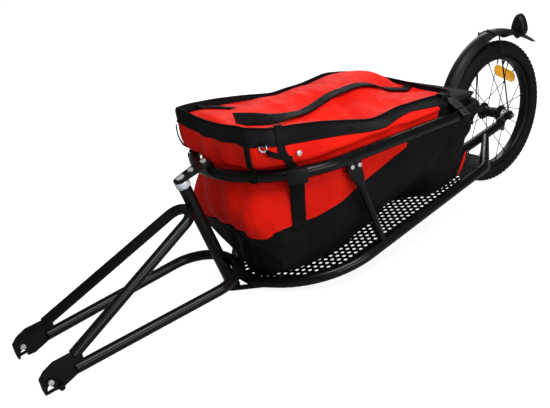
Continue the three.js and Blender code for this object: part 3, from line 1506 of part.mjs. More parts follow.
addTyre();
addRim();
addHubAndSpokes();
addWheelTrim();
addLowerFrame();
addDeck();
addRail();
addStruts();
addPosts();
addAxle();
addFender();
addFenderStays();
addRearReflector();
addPivot();
addTopBracket();
addYoke();
addFork();
addBag();
addStraps();

export default trailer;
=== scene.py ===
import json
import math

import bmesh
import bpy
import mathutils
import numpy as np
from mathutils import Matrix, Vector
from mathutils.geometry import delaunay_2d_cdt

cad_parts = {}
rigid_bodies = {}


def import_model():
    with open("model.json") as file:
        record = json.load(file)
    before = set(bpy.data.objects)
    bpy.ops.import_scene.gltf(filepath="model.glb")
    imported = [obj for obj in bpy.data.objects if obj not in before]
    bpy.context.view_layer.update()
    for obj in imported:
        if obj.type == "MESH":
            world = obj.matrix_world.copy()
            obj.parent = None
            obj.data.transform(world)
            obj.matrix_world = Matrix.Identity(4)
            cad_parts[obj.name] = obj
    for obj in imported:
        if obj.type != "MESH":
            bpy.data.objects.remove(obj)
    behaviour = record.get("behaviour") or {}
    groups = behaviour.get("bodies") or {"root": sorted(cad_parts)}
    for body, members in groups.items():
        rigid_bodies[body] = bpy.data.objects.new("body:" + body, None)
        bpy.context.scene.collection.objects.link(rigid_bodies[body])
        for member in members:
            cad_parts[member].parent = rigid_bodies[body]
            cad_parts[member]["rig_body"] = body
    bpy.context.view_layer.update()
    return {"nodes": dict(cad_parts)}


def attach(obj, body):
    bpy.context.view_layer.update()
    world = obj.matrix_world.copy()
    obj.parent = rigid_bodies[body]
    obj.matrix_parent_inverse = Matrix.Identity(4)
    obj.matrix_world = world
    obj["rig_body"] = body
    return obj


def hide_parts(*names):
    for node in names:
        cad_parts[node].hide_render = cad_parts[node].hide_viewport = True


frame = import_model()

# Points are millimetres in the wheel's own ground frame: x forward, y to the near side, z up
MM = 0.001
SHIFT = 590.25
LEAN = math.radians(17.94)
DECK_FALL_SHARE, RAIL_FALL_SHARE = 0.196, 0.035
DECK, DECK_PITCH = (0.0, 0.0, 188.4), math.atan(DECK_FALL_SHARE)
RAIL, RAIL_PITCH = (0.0, 0.0, 321.0), math.atan(RAIL_FALL_SHARE)
PIVOT = (925.0, 0.0, 34.0)
HUB = (0.0, 0.0, 200.0)
SIDES = (("left", 1), ("right", -1))


def metres(p):
    return Vector(((p[0] - SHIFT) * MM, p[1] * MM, p[2] * MM))


def turned(p, origin, pitch):
    c, s = math.cos(pitch), math.sin(pitch)
    return (origin[0] + p[0] * c + p[2] * s, origin[1] + p[1], origin[2] - p[0] * s + p[2] * c)


def deck_at(x, y, z=0.0):
    return turned((x, y, z), DECK, DECK_PITCH)


def rail_at(x, y, z=0.0):
    return turned((x, y, z), RAIL, RAIL_PITCH)


def pivot_at(x, y, z):
    return turned((x, y, z), PIVOT, LEAN)


def deck_z(x):
    return DECK[2] - DECK_FALL_SHARE * x


def rail_z(x):
    return RAIL[2] - RAIL_FALL_SHARE * x


def placed(name, data):
    obj = bpy.data.objects.new(name, data)
    bpy.context.scene.collection.objects.link(obj)
    return obj


# Camera, fitted to the photograph
CAM = (1593.926, 1160.459, 725.768)
YAW, PITCH, ROLL = -2.182, 0.378, -0.098
FOCAL, PHOTO_WIDTH, SENSOR_WIDTH = 676.0, 550.0, 36.0
look = Vector((math.cos(PITCH) * math.cos(YAW), math.cos(PITCH) * math.sin(YAW), -math.sin(PITCH)))
flat_right = Vector((math.sin(YAW), -math.cos(YAW), 0.0))
flat_up = flat_right.cross(look)
right = math.cos(ROLL) * flat_right + math.sin(ROLL) * flat_up
up = -math.sin(ROLL) * flat_right + math.cos(ROLL) * flat_up
camera_data = bpy.data.cameras.new("camera")
camera_data.sensor_width = SENSOR_WIDTH
camera_data.lens = SENSOR_WIDTH * FOCAL / PHOTO_WIDTH
camera_data.clip_end = 50.0
camera_data.shift_x, camera_data.shift_y = -0.0009, -0.0005
camera = placed("camera", camera_data)
turn = Matrix((right, up, -look)).transposed().to_4x4()
camera.matrix_world = Matrix.Translation(metres(CAM)) @ turn
bpy.context.scene.camera = camera


# Materials: what a node takes is either a value or another node's output
def feed(tree, socket, value):
    if isinstance(value, bpy.types.NodeSocket):
        tree.links.new(value, socket)
    else:
        socket.default_value = value


def plug(tree, target, **inputs):
    for key, value in inputs.items():
        feed(tree, target.inputs[key.replace("_", " ")], value)


def node(tree, kind, settings=None, **inputs):
    added = tree.nodes.new(kind)
    for key, value in (settings or {}).items():
        setattr(added, key, value)
    plug(tree, added, **inputs)
    return added


def maths(tree, operation, *values):
    added = node(tree, "ShaderNodeMath", {"operation": operation})
    for socket, value in zip(added.inputs, values):
        feed(tree, socket, value)
    return added.outputs[0]


def new_material(name):
    """A material, its node tree, its shader and the object's own coordinates."""
    mat = bpy.data.materials.new(name)
    mat.use_nodes = True
    tree = mat.node_tree
    return mat, tree, tree.nodes["Principled BSDF"], node(tree, "ShaderNodeTexCoord").outputs["Object"]


def ramp(tree, source, low, high, at=(0.3, 0.7)):
    return node(tree, "ShaderNodeMapRange", From_Min=at[0], From_Max=at[1], To_Min=low, To_Max=high,
                Value=source).outputs["Result"]


def blend(tree, factor, a, b):
    return node(tree, "ShaderNodeMix", {"data_type": "RGBA"}, A=(*a, 1), B=(*b, 1),
                Factor=factor).outputs["Result"]


def noise(tree, vector, scale, detail=4.0):
    return node(tree, "ShaderNodeTexNoise", Scale=scale, Detail=detail, Vector=vector).outputs["Fac"]


def bump(tree, bsdf, height, strength, distance, **previous):
    added = node(tree, "ShaderNodeBump", Strength=strength, Distance=distance, Height=height, **previous)
    plug(tree, bsdf, Normal=added.outputs["Normal"])
    return added.outputs["Normal"]


def plain(name, low, high, rough, metallic=0.0, grain=900.0, strength=0.15, distance=0.0002, shine=0.5,
          **coat):
    """A hard finish: two tones in soft patches, a roughness range and a fine grain."""
    mat, tree, bsdf, at = new_material(name)
    plug(tree, bsdf, Base_Color=blend(tree, noise(tree, at, 9.0), low, high), Metallic=metallic,
         Roughness=ramp(tree, noise(tree, at, 45.0), *rough), Specular_IOR_Level=shine, **coat)
    bump(tree, bsdf, noise(tree, at, grain, 2.0), strength, distance)
    return mat


black_paint = plain("black_paint", (0.002, 0.002, 0.0023), (0.0045, 0.0045, 0.005), (0.2, 0.34),
                    grain=420.0, strength=0.08, shine=0.18, Coat_Weight=0.1, Coat_Roughness=0.08)
black_plastic = plain("black_plastic", (0.003, 0.003, 0.0036), (0.007, 0.007, 0.008), (0.38, 0.52),
                      grain=1500.0, strength=0.2, shine=0.2)
buckle_plastic = plain("buckle_plastic", (0.012, 0.012, 0.014), (0.03, 0.03, 0.033), (0.2, 0.32),
                       grain=1300.0, shine=0.6)
zinc = plain("zinc_steel", (0.55, 0.56, 0.58), (0.76, 0.77, 0.79), (0.2, 0.36), 0.55, grain=1200.0)
polished = plain("bright_collar", (0.62, 0.69, 0.76), (0.78, 0.84, 0.9), (0.12, 0.24), 0.35, grain=1400.0,
                 strength=0.06)
anodised = plain("black_anodised", (0.004, 0.004, 0.005), (0.01, 0.01, 0.012), (0.25, 0.38), 0.3,
                 shine=0.25)
dark_steel = plain("dark_steel", (0.006, 0.006, 0.007), (0.02, 0.02, 0.022), (0.3, 0.45), 0.4, shine=0.25)
black_nut = plain("black_nut", (0.01, 0.01, 0.011), (0.03, 0.03, 0.032), (0.25, 0.4), 0.8, grain=1400.0)
deck_paint = plain("deck_paint", (0.002, 0.002, 0.0023), (0.004, 0.004, 0.0045), (0.45, 0.6), grain=600.0,
                   strength=0.12, shine=0.12)
threaded = plain("threaded_zinc", (0.5, 0.51, 0.54), (0.72, 0.73, 0.75), (0.2, 0.36), 1.0, grain=1200.0)
rubber = plain("tyre_rubber", (0.0025, 0.0025, 0.0028), (0.006, 0.006, 0.0064), (0.55, 0.78), grain=700.0,
               strength=0.35, distance=0.0004, shine=0.14)


def fabric(name, low, high, rough, weave=0.5, pitch=1600.0, shine=0.1, sheen=0.01):
    """Coated cloth: a crossed weave, soft creases and uneven shine."""
    mat, tree, bsdf, at = new_material(name)
    tone = ramp(tree, noise(tree, at, 7.0, 6.0), 0.0, 1.0)
    plug(tree, bsdf, Base_Color=blend(tree, tone, low, high), Sheen_Weight=sheen, Specular_IOR_Level=shine,
         Roughness=ramp(tree, noise(tree, at, 60.0), rough - 0.1, rough + 0.1))
    creases = bump(tree, bsdf, noise(tree, at, 38.0, 5.0), 0.25, 0.0025)
    bands = [{"wave_type": "BANDS", "bands_direction": direction} for direction in ("X", "Z", "Y")]
    scale = pitch / (2 * math.pi) / 3.2
    waves = [node(tree, "ShaderNodeTexWave", band, Scale=scale, Vector=at) for band in bands]
    threads = [wave.outputs["Fac"] for wave in waves]
    crossed = maths(tree, "ADD", threads[0], threads[1])
    bump(tree, bsdf, maths(tree, "ADD", crossed, threads[2]), weave, 0.00025, Normal=creases)
    return mat


red_cloth = fabric("red_fabric", (0.62, 0.006, 0.002), (0.8, 0.014, 0.005), 0.62, shine=0.07, sheen=0.0)
black_cloth = fabric("black_fabric", (0.0022, 0.0022, 0.0032), (0.005, 0.005, 0.0075), 0.66)
webbing = fabric("webbing", (0.0022, 0.0022, 0.0026), (0.005, 0.005, 0.006), 0.65, 0.9, 2600.0)


def reflector(name, low, high):
    """A moulded reflector: small prisms under a glossy face."""
    mat, tree, bsdf, at = new_material(name)
    prisms = node(tree, "ShaderNodeTexVoronoi", {"feature": "F1"}, Scale=330.0, Vector=at).outputs["Distance"]
    tone = ramp(tree, prisms, 0.0, 1.0, (0.0, 0.6))
    plug(tree, bsdf, Base_Color=blend(tree, tone, high, low), Coat_Weight=0.8, Coat_Roughness=0.05,
         Roughness=ramp(tree, noise(tree, at, 200.0), 0.1, 0.22))
    bump(tree, bsdf, prisms, 0.5, 0.0006)
    return mat


amber = reflector("amber_lens", (0.72, 0.3, 0.008), (0.98, 0.5, 0.02))
red_lens = reflector("red_lens", (0.35, 0.008, 0.01), (0.7, 0.02, 0.02))


# Mesh helpers
def quads(rows, columns, ring=False, closed=False):
    """Faces between rows of points: ring closes each row, closed joins the last row to the first."""
    faces = []
    for i in range(rows if closed else rows - 1):
        j = (i + 1) % rows
        for k in range(columns if ring else columns - 1):
            m = (k + 1) % columns
            faces.append((i * columns + k, j * columns + k, j * columns + m, i * columns + m))
    return faces


def skin(rings, closed=False, ring=True):
    """Points and faces over a line of rings, capped at both ends unless the line is closed."""
    verts = [p for row in rings for p in row]
    size = len(rings[0])
    faces = quads(len(rings), size, ring, closed)
    if not closed:
        faces += [tuple(range(size)), tuple(range(len(verts) - size, len(verts)))]
    return verts, faces


def shade(mesh, angle, bevel=0.0):
    """Smooth faces with sharp edges past an angle, and a bevel on those of the CAD where one is asked for."""
    bm = bmesh.new()
    bm.from_mesh(mesh)
    bmesh.ops.remove_doubles(bm, verts=bm.verts, dist=1e-6)
    bmesh.ops.recalc_face_normals(bm, faces=bm.faces)
    if bevel:
        bmesh.ops.dissolve_limit(bm, angle_limit=math.radians(2), verts=bm.verts, edges=bm.edges)
        sharp = [e for e in bm.edges if len(e.link_faces) == 2 and e.calc_face_angle(0) > math.radians(32)]
        bmesh.ops.bevel(bm, geom=sharp, offset=bevel, offset_type="OFFSET", segments=2, profile=0.5,
                        affect="EDGES", clamp_overlap=True)
    for face in bm.faces:
        face.smooth = True
    for edge in bm.edges:
        if len(edge.link_faces) == 2:
            edge.smooth = edge.calc_face_angle(0) < math.radians(angle)
    bm.to_mesh(mesh)
    bm.free()


def made(name, verts, faces, finishes, replaced=(), body="frame", smooth=40.0, colours=None):
    """A piece from points in millimetres. Without an angle, all its faces are shaded smooth."""
    mesh = bpy.data.meshes.new(name)
    mesh.from_pydata([metres(v) for v in verts], [], faces)
    for material in finishes if isinstance(finishes, tuple) else (finishes,):
        mesh.materials.append(material)
    if colours:
        mesh.polygons.foreach_set("material_index", colours)
    if smooth:
        shade(mesh, smooth)
    else:
        mesh.polygons.foreach_set("use_smooth", [True] * len(faces))
    obj = placed(name, mesh)
    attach(obj, body)
    if replaced:
        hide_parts(*replaced)
    return obj


def refine(name, material, bevel=0.0004, angle=35.0):
    """A CAD node with its sharp edges eased, in a finish of its own."""
    source = frame["nodes"][name]
    mesh = source.data.copy()
    mesh.name = name + "_eased"
    mesh.materials.clear()
    mesh.materials.append(material)
    for poly in mesh.polygons:
        poly.material_index = 0
    if "sharp_edge" in mesh.attributes:
        mesh.attributes.remove(mesh.attributes["sharp_edge"])
    shade(mesh, angle, bevel)
    obj = placed(mesh.name, mesh)
    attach(obj, source["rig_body"])
    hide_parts(name)


def bends(corners, radii, step=math.radians(5)):
    """A line of corners, each inner one rounded to its own radius."""
    stations = [Vector(corners[0])]
    points = [Vector(c) for c in corners]
    for i in range(1, len(points) - 1):
        before = (points[i - 1] - points[i]).normalized()
        after = (points[i + 1] - points[i]).normalized()
        half = before.angle(after) / 2
        radius = radii[i - 1] if hasattr(radii, "__len__") else radii
        cut = radius / math.tan(half)
        middle = (before + after).normalized()
        centre = points[i] + middle * (radius / math.sin(half))
        sweep_angle = math.pi - 2 * half
        steps = max(3, math.ceil(sweep_angle / step))
        start = points[i] + before * cut - centre
        axis = before.cross(after).normalized()
        for k in range(steps + 1):
            stations.append(Matrix.Rotation(-sweep_angle * k / steps, 3, axis) @ start + centre)
    stations.append(points[-1])
    return stations


def sweep(points, radius, sides=24, closed=False):
    """A tube round a line of points, its rings carried along by parallel transport."""
    pts = [Vector(p) for p in points]
    count = len(pts)
    radii = radius if hasattr(radius, "__len__") else [radius] * count
    turns = [2 * math.pi * k / sides for k in range(sides)]
    previous = (pts[1] - pts[-1 if closed else 0]).normalized()
    side = Vector((0, 0, 1)).cross(previous)
    if side.length < 1e-3:
        side = Vector((1, 0, 0)).cross(previous)
    rings = []
    for i, p in enumerate(pts):
        ahead = pts[(i + 1) % count] if closed or i < count - 1 else p
        behind = pts[i - 1] if closed or i > 0 else p
        tangent = (ahead - behind).normalized()
        side = previous.rotation_difference(tangent) @ side
        side = (side - tangent * side.dot(tangent)).normalized()
        previous = tangent
        other = tangent.cross(side)
        rings.append([p + (side * math.cos(a) + other * math.sin(a)) * radii[i] for a in turns])
    return skin(rings, closed)


def lathe(profile, segments, origin, pitch=0.0, axis="z", closed=True):
    """A turned shape: profile pairs are radius and height along the axis."""
    rings = []
    for k in range(segments):
        c, s = math.cos(2 * math.pi * k / segments), math.sin(2 * math.pi * k / segments)
        ring = [(r * c, r * s, h) if axis == "z" else (r * s, h, r * c) for r, h in profile]
        rings.append([turned(p, origin, pitch) for p in ring])
    return skin(rings, True, closed)


def merge(*parts):
    verts, faces = [], []
    for v, f in parts:
        base = len(verts)
        verts.extend(v)
        faces.extend([tuple(i + base for i in face) for face in f])
    return verts, faces


def rounded(profile, radius):
    """A closed profile of radius and height with its corners eased."""
    out = []
    count = len(profile)
    for i in range(count):
        p = Vector((*profile[i], 0))
        a = Vector((*profile[i - 1], 0)) - p
        b = Vector((*profile[(i + 1) % count], 0)) - p
        cut = min(radius, a.length * 0.4, b.length * 0.4)
        for t in (0.0, 0.5, 1.0):
            q = p + a.normalized() * (cut * (1 - t) ** 2) + b.normalized() * (cut * t ** 2)
            out.append((q.x, q.y))
    return out


# Frame tubes
TUBE, TUBE_END, TUBE_SIDES = 12.7, 9.0, 28
LOOP_CORNERS = [(102, 54.43, 0), (258, 166, 0), (806, 185.4, 0), (896.5, 32, 0), (896.5, 0, 0)]
half_loop = bends(LOOP_CORNERS, [34, 210, 36])
loop_line = half_loop + [Vector((p.x, -p.y, p.z)) for p in reversed(half_loop[:-1])]
loop_radii = [TUBE_END] + [TUBE] * (len(loop_line) - 2) + [TUBE_END]
made("lower_loop_tube", *sweep([deck_at(*p) for p in loop_line], loop_radii, TUBE_SIDES), black_paint,
     ["lower_loop"])

RAIL_HALF, RAIL_BEND_X, RAIL_REAR_X, RAIL_REAR_BEND, RAIL_STEPS = 193.0, 750.0, 288.0, 70.0, 48
rail_front = [Vector((RAIL_BEND_X + RAIL_HALF * math.cos(a), RAIL_HALF * math.sin(a), 0))
              for a in (math.pi / 2 - math.pi * k / RAIL_STEPS for k in range(RAIL_STEPS + 1))]
rail_back = bends([rail_front[-1], (RAIL_REAR_X, -RAIL_HALF, 0), (RAIL_REAR_X, RAIL_HALF, 0), rail_front[0]],
                  RAIL_REAR_BEND)
rail_line = rail_front + rail_back[1:-1]
made("upper_rail_tube", *sweep([rail_at(*p) for p in rail_line], TUBE, TUBE_SIDES, closed=True), black_paint,
     ["upper_rail"])

STAY_FRONT, STAY_REAR, STAY_HALF, STAY_SPREAD = 231.4, 30.0, 53.0, 4.0
CROSS_X, CROSS_RADIUS, CROSS_DROP, LOOP_REAR_HALF = 240.0, 9.5, 10.8, 166.0
POST_HALF, POST_RADIUS = 64.0, 8.0
for side, sign in SIDES:
    line = [deck_at(STAY_FRONT, sign * (STAY_HALF + STAY_SPREAD)), deck_at(STAY_REAR, sign * STAY_HALF)]
    made("wheel_stay_tube_" + side, *sweep(line, TUBE, TUBE_SIDES), black_paint, ["wheel_stay_" + side])
    line = [(x, sign * POST_HALF, z(x)) for x, z in ((CROSS_X, deck_z), (RAIL_REAR_X, rail_z))]
    made("rear_post_tube_" + side, *sweep(line, POST_RADIUS), black_paint, ["rear_post_" + side])
line = [deck_at(CROSS_X, y, -CROSS_DROP) for y in (-LOOP_REAR_HALF, LOOP_REAR_HALF)]
made("rear_cross_bar", *sweep(line, CROSS_RADIUS), black_paint, ["rear_cross_tube"])


# Side struts: a round tube pressed flat where it bolts to the rail's tab
STRUT_RADIUS, FLAT_HALF, FLAT_WALL, STRUT_OVER, STRUT_SIDES = 8.0, 19.0, 2.0, 15.0, 28
STRUT_FOOT, STRUT_TOP = Vector((623.0, 179.34, 66.3)), Vector((712.0, 193.3, 268.9))
# How far below the top, how flat there as a share, and how far turned along the rail as a share
STRUT_PRESS = [(56, 0, 0), (44, 0.12, 0.2), (33, 0.42, 0.5), (23, 0.78, 0.8), (15, 0.96, 0.95), (8, 1, 1),
               (0, 1, 1)]


def strut(sign):
    along = (STRUT_TOP - STRUT_FOOT).normalized()
    stations = [(STRUT_FOOT, 0, 0)] + [(STRUT_TOP - along * s, flat, lean) for s, flat, lean in STRUT_PRESS]
    stations.append((STRUT_TOP + Vector((0, 0, STRUT_OVER)), 1, 1))
    rings = []
    for centre, flat, lean in stations:
        wide = Vector((along.z, 0, -along.x)).normalized().lerp(Vector((1, 0, 0)), lean).normalized()
        half = STRUT_RADIUS + (FLAT_HALF - STRUT_RADIUS) * flat
        thick = STRUT_RADIUS + (FLAT_WALL - STRUT_RADIUS) * flat
        power = 1 / (1 + 2.5 * flat)
        ring = []
        for a in (2 * math.pi * k / STRUT_SIDES for k in range(STRUT_SIDES)):
            c, s = math.cos(a), math.sin(a)
            p = centre + wide * (half * math.copysign(abs(c) ** power, c))
            ring.append((p.x, sign * (p.y + thick * math.copysign(abs(s) ** power, s)), p.z))
        rings.append(ring)
    return skin(rings)


for side, sign in SIDES:
    made("side_strut_tube_" + side, *strut(sign), black_paint, ["side_strut_" + side])
    refine("rail_tab_" + side, black_paint, 0.0006)
    refine("axle_plate_" + side, black_paint, 0.0009)
    for end in ("front", "rear"):
        refine(f"strut_bolt_{side}_{end}", zinc, 0.0007)


# Deck: a sheet with round holes in staggered rows
HOLE_PITCH, HOLE_ROW, HOLE_RADIUS, HOLE_REAR_X, HOLE_EDGE, HOLE_SIDES = 15.8, 13.4, 4.6, 323.8, 17.5, 12
HOLE_ASIDE_SHARE = 0.2
DECK_REAR_X, NOTCH_X, NOTCH_HALF, DECK_WALL = 212.0, 232.0, 70.0, 2.0


def deck_outline():
    (x, y, _), (end_x, end_y, _) = LOOP_CORNERS[:2]
    rear_y = y + (DECK_REAR_X - x) * (end_y - y) / (end_x - x)
    half = [(NOTCH_X, 0), (NOTCH_X, NOTCH_HALF), (DECK_REAR_X, NOTCH_HALF), (DECK_REAR_X, rear_y)]
    half += [(p.x, p.y) for p in half_loop if p.x > DECK_REAR_X]
    return half + [(x, -y) for x, y in reversed(half[1:-1])]


def inside_loop(x, y):
    """How far a point lies inside the loop's middle line, or nothing outside it."""
    y = abs(y)
    best, under = 1e9, False
    for a, b in zip(half_loop, half_loop[1:]):
        span = Vector((b.x - a.x, b.y - a.y))
        t = max(0.0, min(1.0, ((x - a.x) * span.x + (y - a.y) * span.y) / span.length_squared))
        best = min(best, math.hypot(x - a.x - t * span.x, y - a.y - t * span.y))
        if a.x <= x < b.x and y < a.y + (x - a.x) / (b.x - a.x) * (b.y - a.y):
            under = True
    return best if under else 0.0


def hole_at(row, column):
    return HOLE_REAR_X + HOLE_PITCH * (column + (row % 2) / 2), (row + HOLE_ASIDE_SHARE) * HOLE_ROW


def deck_plate():
    points, edges, open_holes = [], [], set()

    def ring(line):
        base = len(points)
        points.extend(Vector(p) for p in line)
        edges.extend((base + k, base + (k + 1) % len(line)) for k in range(len(line)))

    def in_hole(p):
        row = round(p.y / HOLE_ROW - HOLE_ASIDE_SHARE)
        column = round((p.x - HOLE_REAR_X) / HOLE_PITCH - (row % 2) / 2)
        return (row, column) in open_holes and (p - Vector(hole_at(row, column))).length < HOLE_RADIUS

    ring(deck_outline())
    for row in range(-14, 15):
        for column in range(60):
            x, y = hole_at(row, column)
            if inside_loop(x, y) >= HOLE_EDGE:
                open_holes.add((row, column))
                ring([(x + HOLE_RADIUS * math.cos(a), y + HOLE_RADIUS * math.sin(a))
                      for a in (2 * math.pi * k / HOLE_SIDES for k in range(HOLE_SIDES))])
    flat, borders, cells, *_ = delaunay_2d_cdt(points, edges, [], 1, 1e-4)
    cells = [c for c in cells if not in_hole(sum((flat[k] for k in c), Vector((0, 0))) / 3)]
    verts = [deck_at(p.x, p.y, h) for h in (DECK_WALL / 2, -DECK_WALL / 2) for p in flat]
    count = len(flat)
    faces = [tuple(c) for c in cells] + [tuple(k + count for k in reversed(c)) for c in cells]
    used = {}
    for cell in cells:
        for a, b in zip(cell, cell[1:] + cell[:1]):
            used[(a, b)] = used.get((a, b), 0) + 1
    for a, b in used:
        if (b, a) not in used:
            faces.append((b, a, a + count, b + count))
    return verts, faces


made("deck_sheet", *deck_plate(), deck_paint, ["deck_plate"])


# Towing fork
SLEEVE_RADIUS, SLEEVE_BORE, SLEEVE_START, SLEEVE_END, SLEEVE_EASE = 13.5, 6.6, -3.0, 248.0, 1.2
FORK_TUBE, HITCH_HALF, HITCH_REACH = 11.1, 77.0, 52.0


def level(ahead, rise):
    """A place that is level with the ground, in the pivot's leaning frame."""
    c, s = math.cos(LEAN), math.sin(LEAN)
    return ahead * c - rise * s, ahead * s + rise * c


HITCH = level(439.0, -22.3)


def leg_line(bow_x, bow_z, half, radius, rise):
    """A bow round the pivot with a leg on each side, out to the hitch plates."""
    back = level(-HITCH_REACH, rise)
    ends = [(HITCH[0] + back[0], sign * HITCH_HALF, HITCH[1] + back[1]) for _, sign in SIDES]
    corners = [ends[0], (bow_x, half, bow_z), (bow_x, -half, bow_z), ends[1]]
    return [pivot_at(*p) for p in bends(corners, radius)]


profile = rounded([(SLEEVE_BORE, SLEEVE_START), (SLEEVE_RADIUS, SLEEVE_START),
                   (SLEEVE_RADIUS, SLEEVE_END), (SLEEVE_BORE, SLEEVE_END)], SLEEVE_EASE)
made("steering_tube", *lathe(profile, 48, PIVOT, LEAN), black_paint, ["steering_sleeve"], "tow_fork")
# Each bow: how far ahead of the pivot and how high, half its width, its bends and its rise at the hitch
BOWS = {"upper": (17.5, 200.6, 30, 33, 43), "lower": (-20.4, 37.6, 92, 87, 15)}
for which, bow in BOWS.items():
    tube = sweep(leg_line(*bow), FORK_TUBE, TUBE_SIDES)
    made(which + "_fork_tube", *tube, black_paint, [which + "_wishbone"], "tow_fork")
for side in ("left", "right"):
    refine("hitch_plate_" + side, black_paint, 0.0009)
    refine("latch_" + side, black_paint, 0.0005)
    refine("latch_pin_" + side, zinc, 0.0006)
for name in ("top_bracket", "bottom_bracket"):
    refine(name, black_paint, 0.0008)
for name in ("pivot_nut", "pivot_pin", "bracket_bolt_front", "bracket_bolt_rear", "fender_band_bolt"):
    refine(name, zinc, 0.0007)
refine("pivot_washer", zinc, 0.0004)
refine("pivot_collar", polished, 0.0009)


# Wheel
TYRE_RADIUS, TYRE_TUBE, TYRE_WALL, TYRE_STEPS = 200.0, 24.5, 3.5, 40
CROWN = TYRE_RADIUS - TYRE_TUBE
KNOB_BASE = 1.9


def wheel_at(r, angle, y=0.0):
    return (r * math.cos(angle), y, HUB[2] + r * math.sin(angle))


def casing():
    outer = []
    for k in range(TYRE_STEPS + 1):
        a = math.radians(-129 + 258 * k / TYRE_STEPS)
        tread = max(0.0, math.cos(min(abs(a) * 1.25, math.pi / 2)))
        r = TYRE_TUBE - KNOB_BASE * min(1.0, tread * 2.2)
        outer.append((CROWN + r * math.cos(a), r * math.sin(a)))
    rib = [(164.2, -17.6), (162.6, -18.6), (161.0, -17.2), (159.4, -13.6), (159.1, -10.4), (152.8, -10.4)]
    bead = [(152.8, -7.4), (162.1, -7.4)]
    inner = []
    for a in (math.radians(-124 + 248 * k / 12) for k in range(13)):
        inner.append((CROWN + (TYRE_TUBE - TYRE_WALL) * math.cos(a), (TYRE_TUBE - TYRE_WALL) * math.sin(a)))
    inner = bead + inner + [(r, -y) for r, y in reversed(bead)]
    return rib[::-1] + outer + [(r, -y) for r, y in rib] + inner[::-1]


# Tread blocks: the tilt of each row in degrees, its stagger as a share, and a block's half length and width
KNOB_ROWS = [(0, 0.0, 4.6, 3.0), (20, 0.5, 4.4, 3.2), (-20, 0.5, 4.4, 3.2), (40, 0.0, 4.0, 3.2),
             (-40, 0.0, 4.0, 3.2), (60, 0.5, 3.6, 3.0), (-60, 0.5, 3.6, 3.0)]
KNOB_COUNT = 76
KNOB_LEVELS = ((21.6, 1.0), (23.8, 0.92), (TYRE_TUBE, 0.74))


def knobs():
    """Tread blocks in staggered rows, standing on the casing."""
    blocks = []
    for tilt, shift, long, wide in KNOB_ROWS:
        for a in (2 * math.pi * (k + shift) / KNOB_COUNT for k in range(KNOB_COUNT)):
            rings = []
            for depth, ease in KNOB_LEVELS:
                ring = []
                for u, v in ((-1, -1), (1, -1), (1, 1), (-1, 1)):
                    section = math.radians(tilt) + v * wide * ease / TYRE_TUBE
                    ring.append(wheel_at(CROWN + depth * math.cos(section), a + u * long * ease / TYRE_RADIUS,
                                         depth * math.sin(section)))
                rings.append(ring)
            blocks.append(skin(rings))
    return merge(*blocks)


made("tyre_casing", *lathe(casing(), 160, HUB, axis="y"), rubber, ["tyre"], "wheel", 50)
made("tyre_tread", *knobs(), rubber, body="wheel", smooth=30)

rim_half_profile = [(151.4, -13.1), (158.5, -13), (158.5, -11.2), (154.5, -11), (153.2, -9.2), (152.3, -5)]
rim_bed = [(147.6, 2.5), (148, 7), (149.2, 10.6)]
rim_profile = rim_half_profile + [(r, -y) for r, y in reversed(rim_half_profile)]
rim_profile += rim_bed[::-1] + [(r, -y) for r, y in rim_bed]
made("rim_hoop", *lathe(rounded(rim_profile, 0.5), 160, HUB, axis="y"), anodised, ["wheel_rim"], "wheel", 50)

SPOKES, TWIST, FLANGE_Y, SPOKE_CIRCLE, SPOKE_END = 20, math.radians(62), 29.0, 20.5, 146.8
SPOKE_RADII, NIPPLE_RADII = [1.7, 1.2, 1.2, 1.1], [1.5, 1.9, 1.9, 2.6]
spoke_parts, nipple_parts = [], []
for k in range(SPOKES):
    side = 1 if k % 2 == 0 else -1
    lead = 1 if k % 4 < 2 else -1
    outside = 1 if k % 8 < 4 else -1
    rim_angle = 2 * math.pi * (k + 0.5) / SPOKES
    hub_angle = rim_angle + lead * TWIST
    elbow, head, out = (Vector(wheel_at(SPOKE_CIRCLE, hub_angle, side * (FLANGE_Y + d * outside)))
                        for d in (0.0, 3.0, 1.4))
    end = Vector(wheel_at(SPOKE_END, rim_angle, side * 1.1))
    spoke_parts.append(sweep([head, out, elbow.lerp(end, 0.02), end], SPOKE_RADII, 10))
    heading = (end - elbow).normalized()
    nipple_parts.append(sweep([end + heading * d for d in (-11, -10, -1.5, 1.2)], NIPPLE_RADII, 12))
made("wheel_spokes", *merge(*spoke_parts), dark_steel, ["hub_and_spokes"], "wheel", 60)
made("spoke_nipples", *merge(*nipple_parts), dark_steel, body="wheel", smooth=50)
hub_half = [(5.6, -29.6), (13.3, -29.6), (13.3, -38), (17, -38), (17, -31.4), (24, -30.8), (24, -27.2),
            (16.5, -25), (14.5, -21)]
hub_profile = rounded(hub_half + [(r, -y) for r, y in reversed(hub_half)], 0.8)
made("hub_shell", *lathe(hub_profile, 64, HUB, axis="y"), anodised, body="wheel")
for side in ("left", "right"):
    refine("hub_bearing_" + side, zinc, 0.0004)
    refine("axle_nut_" + side, black_nut, 0.0006)
refine("wheel_axle", threaded, 0.0005)
refine("valve_stem", rubber, 0.0003)
refine("spoke_reflector", amber, 0.001)


# Fender, its band and stays
FENDER_RADIUS, FLARE, TUCK, FENDER_WALL, FENDER_STEPS = 232.0, 22.0, 9.0, 2.0, 96
FENDER_ANGLES = (-8, 104, 138, 84, 111, 11)
FENDER_START, FLARE_START, FENDER_END, BAND, FLAP, FLAP_SPREAD = (math.radians(a) for a in FENDER_ANGLES)
WIDTH, FRONT_WIDTH, TIP_WIDTH, DROP, FRONT_DROP, FLAP_DROP = 56, 46, 14, 11, 17, 15
BAND_HALF, BAND_OUTSET, STAY_WIRE, EYE_Y = 6.0, 2.3, 2.0, 56.25


def clamped(value):
    return min(1.0, max(0.0, value))


def eased(share):
    """A share from 0 to 1 that starts and ends softly."""
    return share * share * (3 - 2 * share)


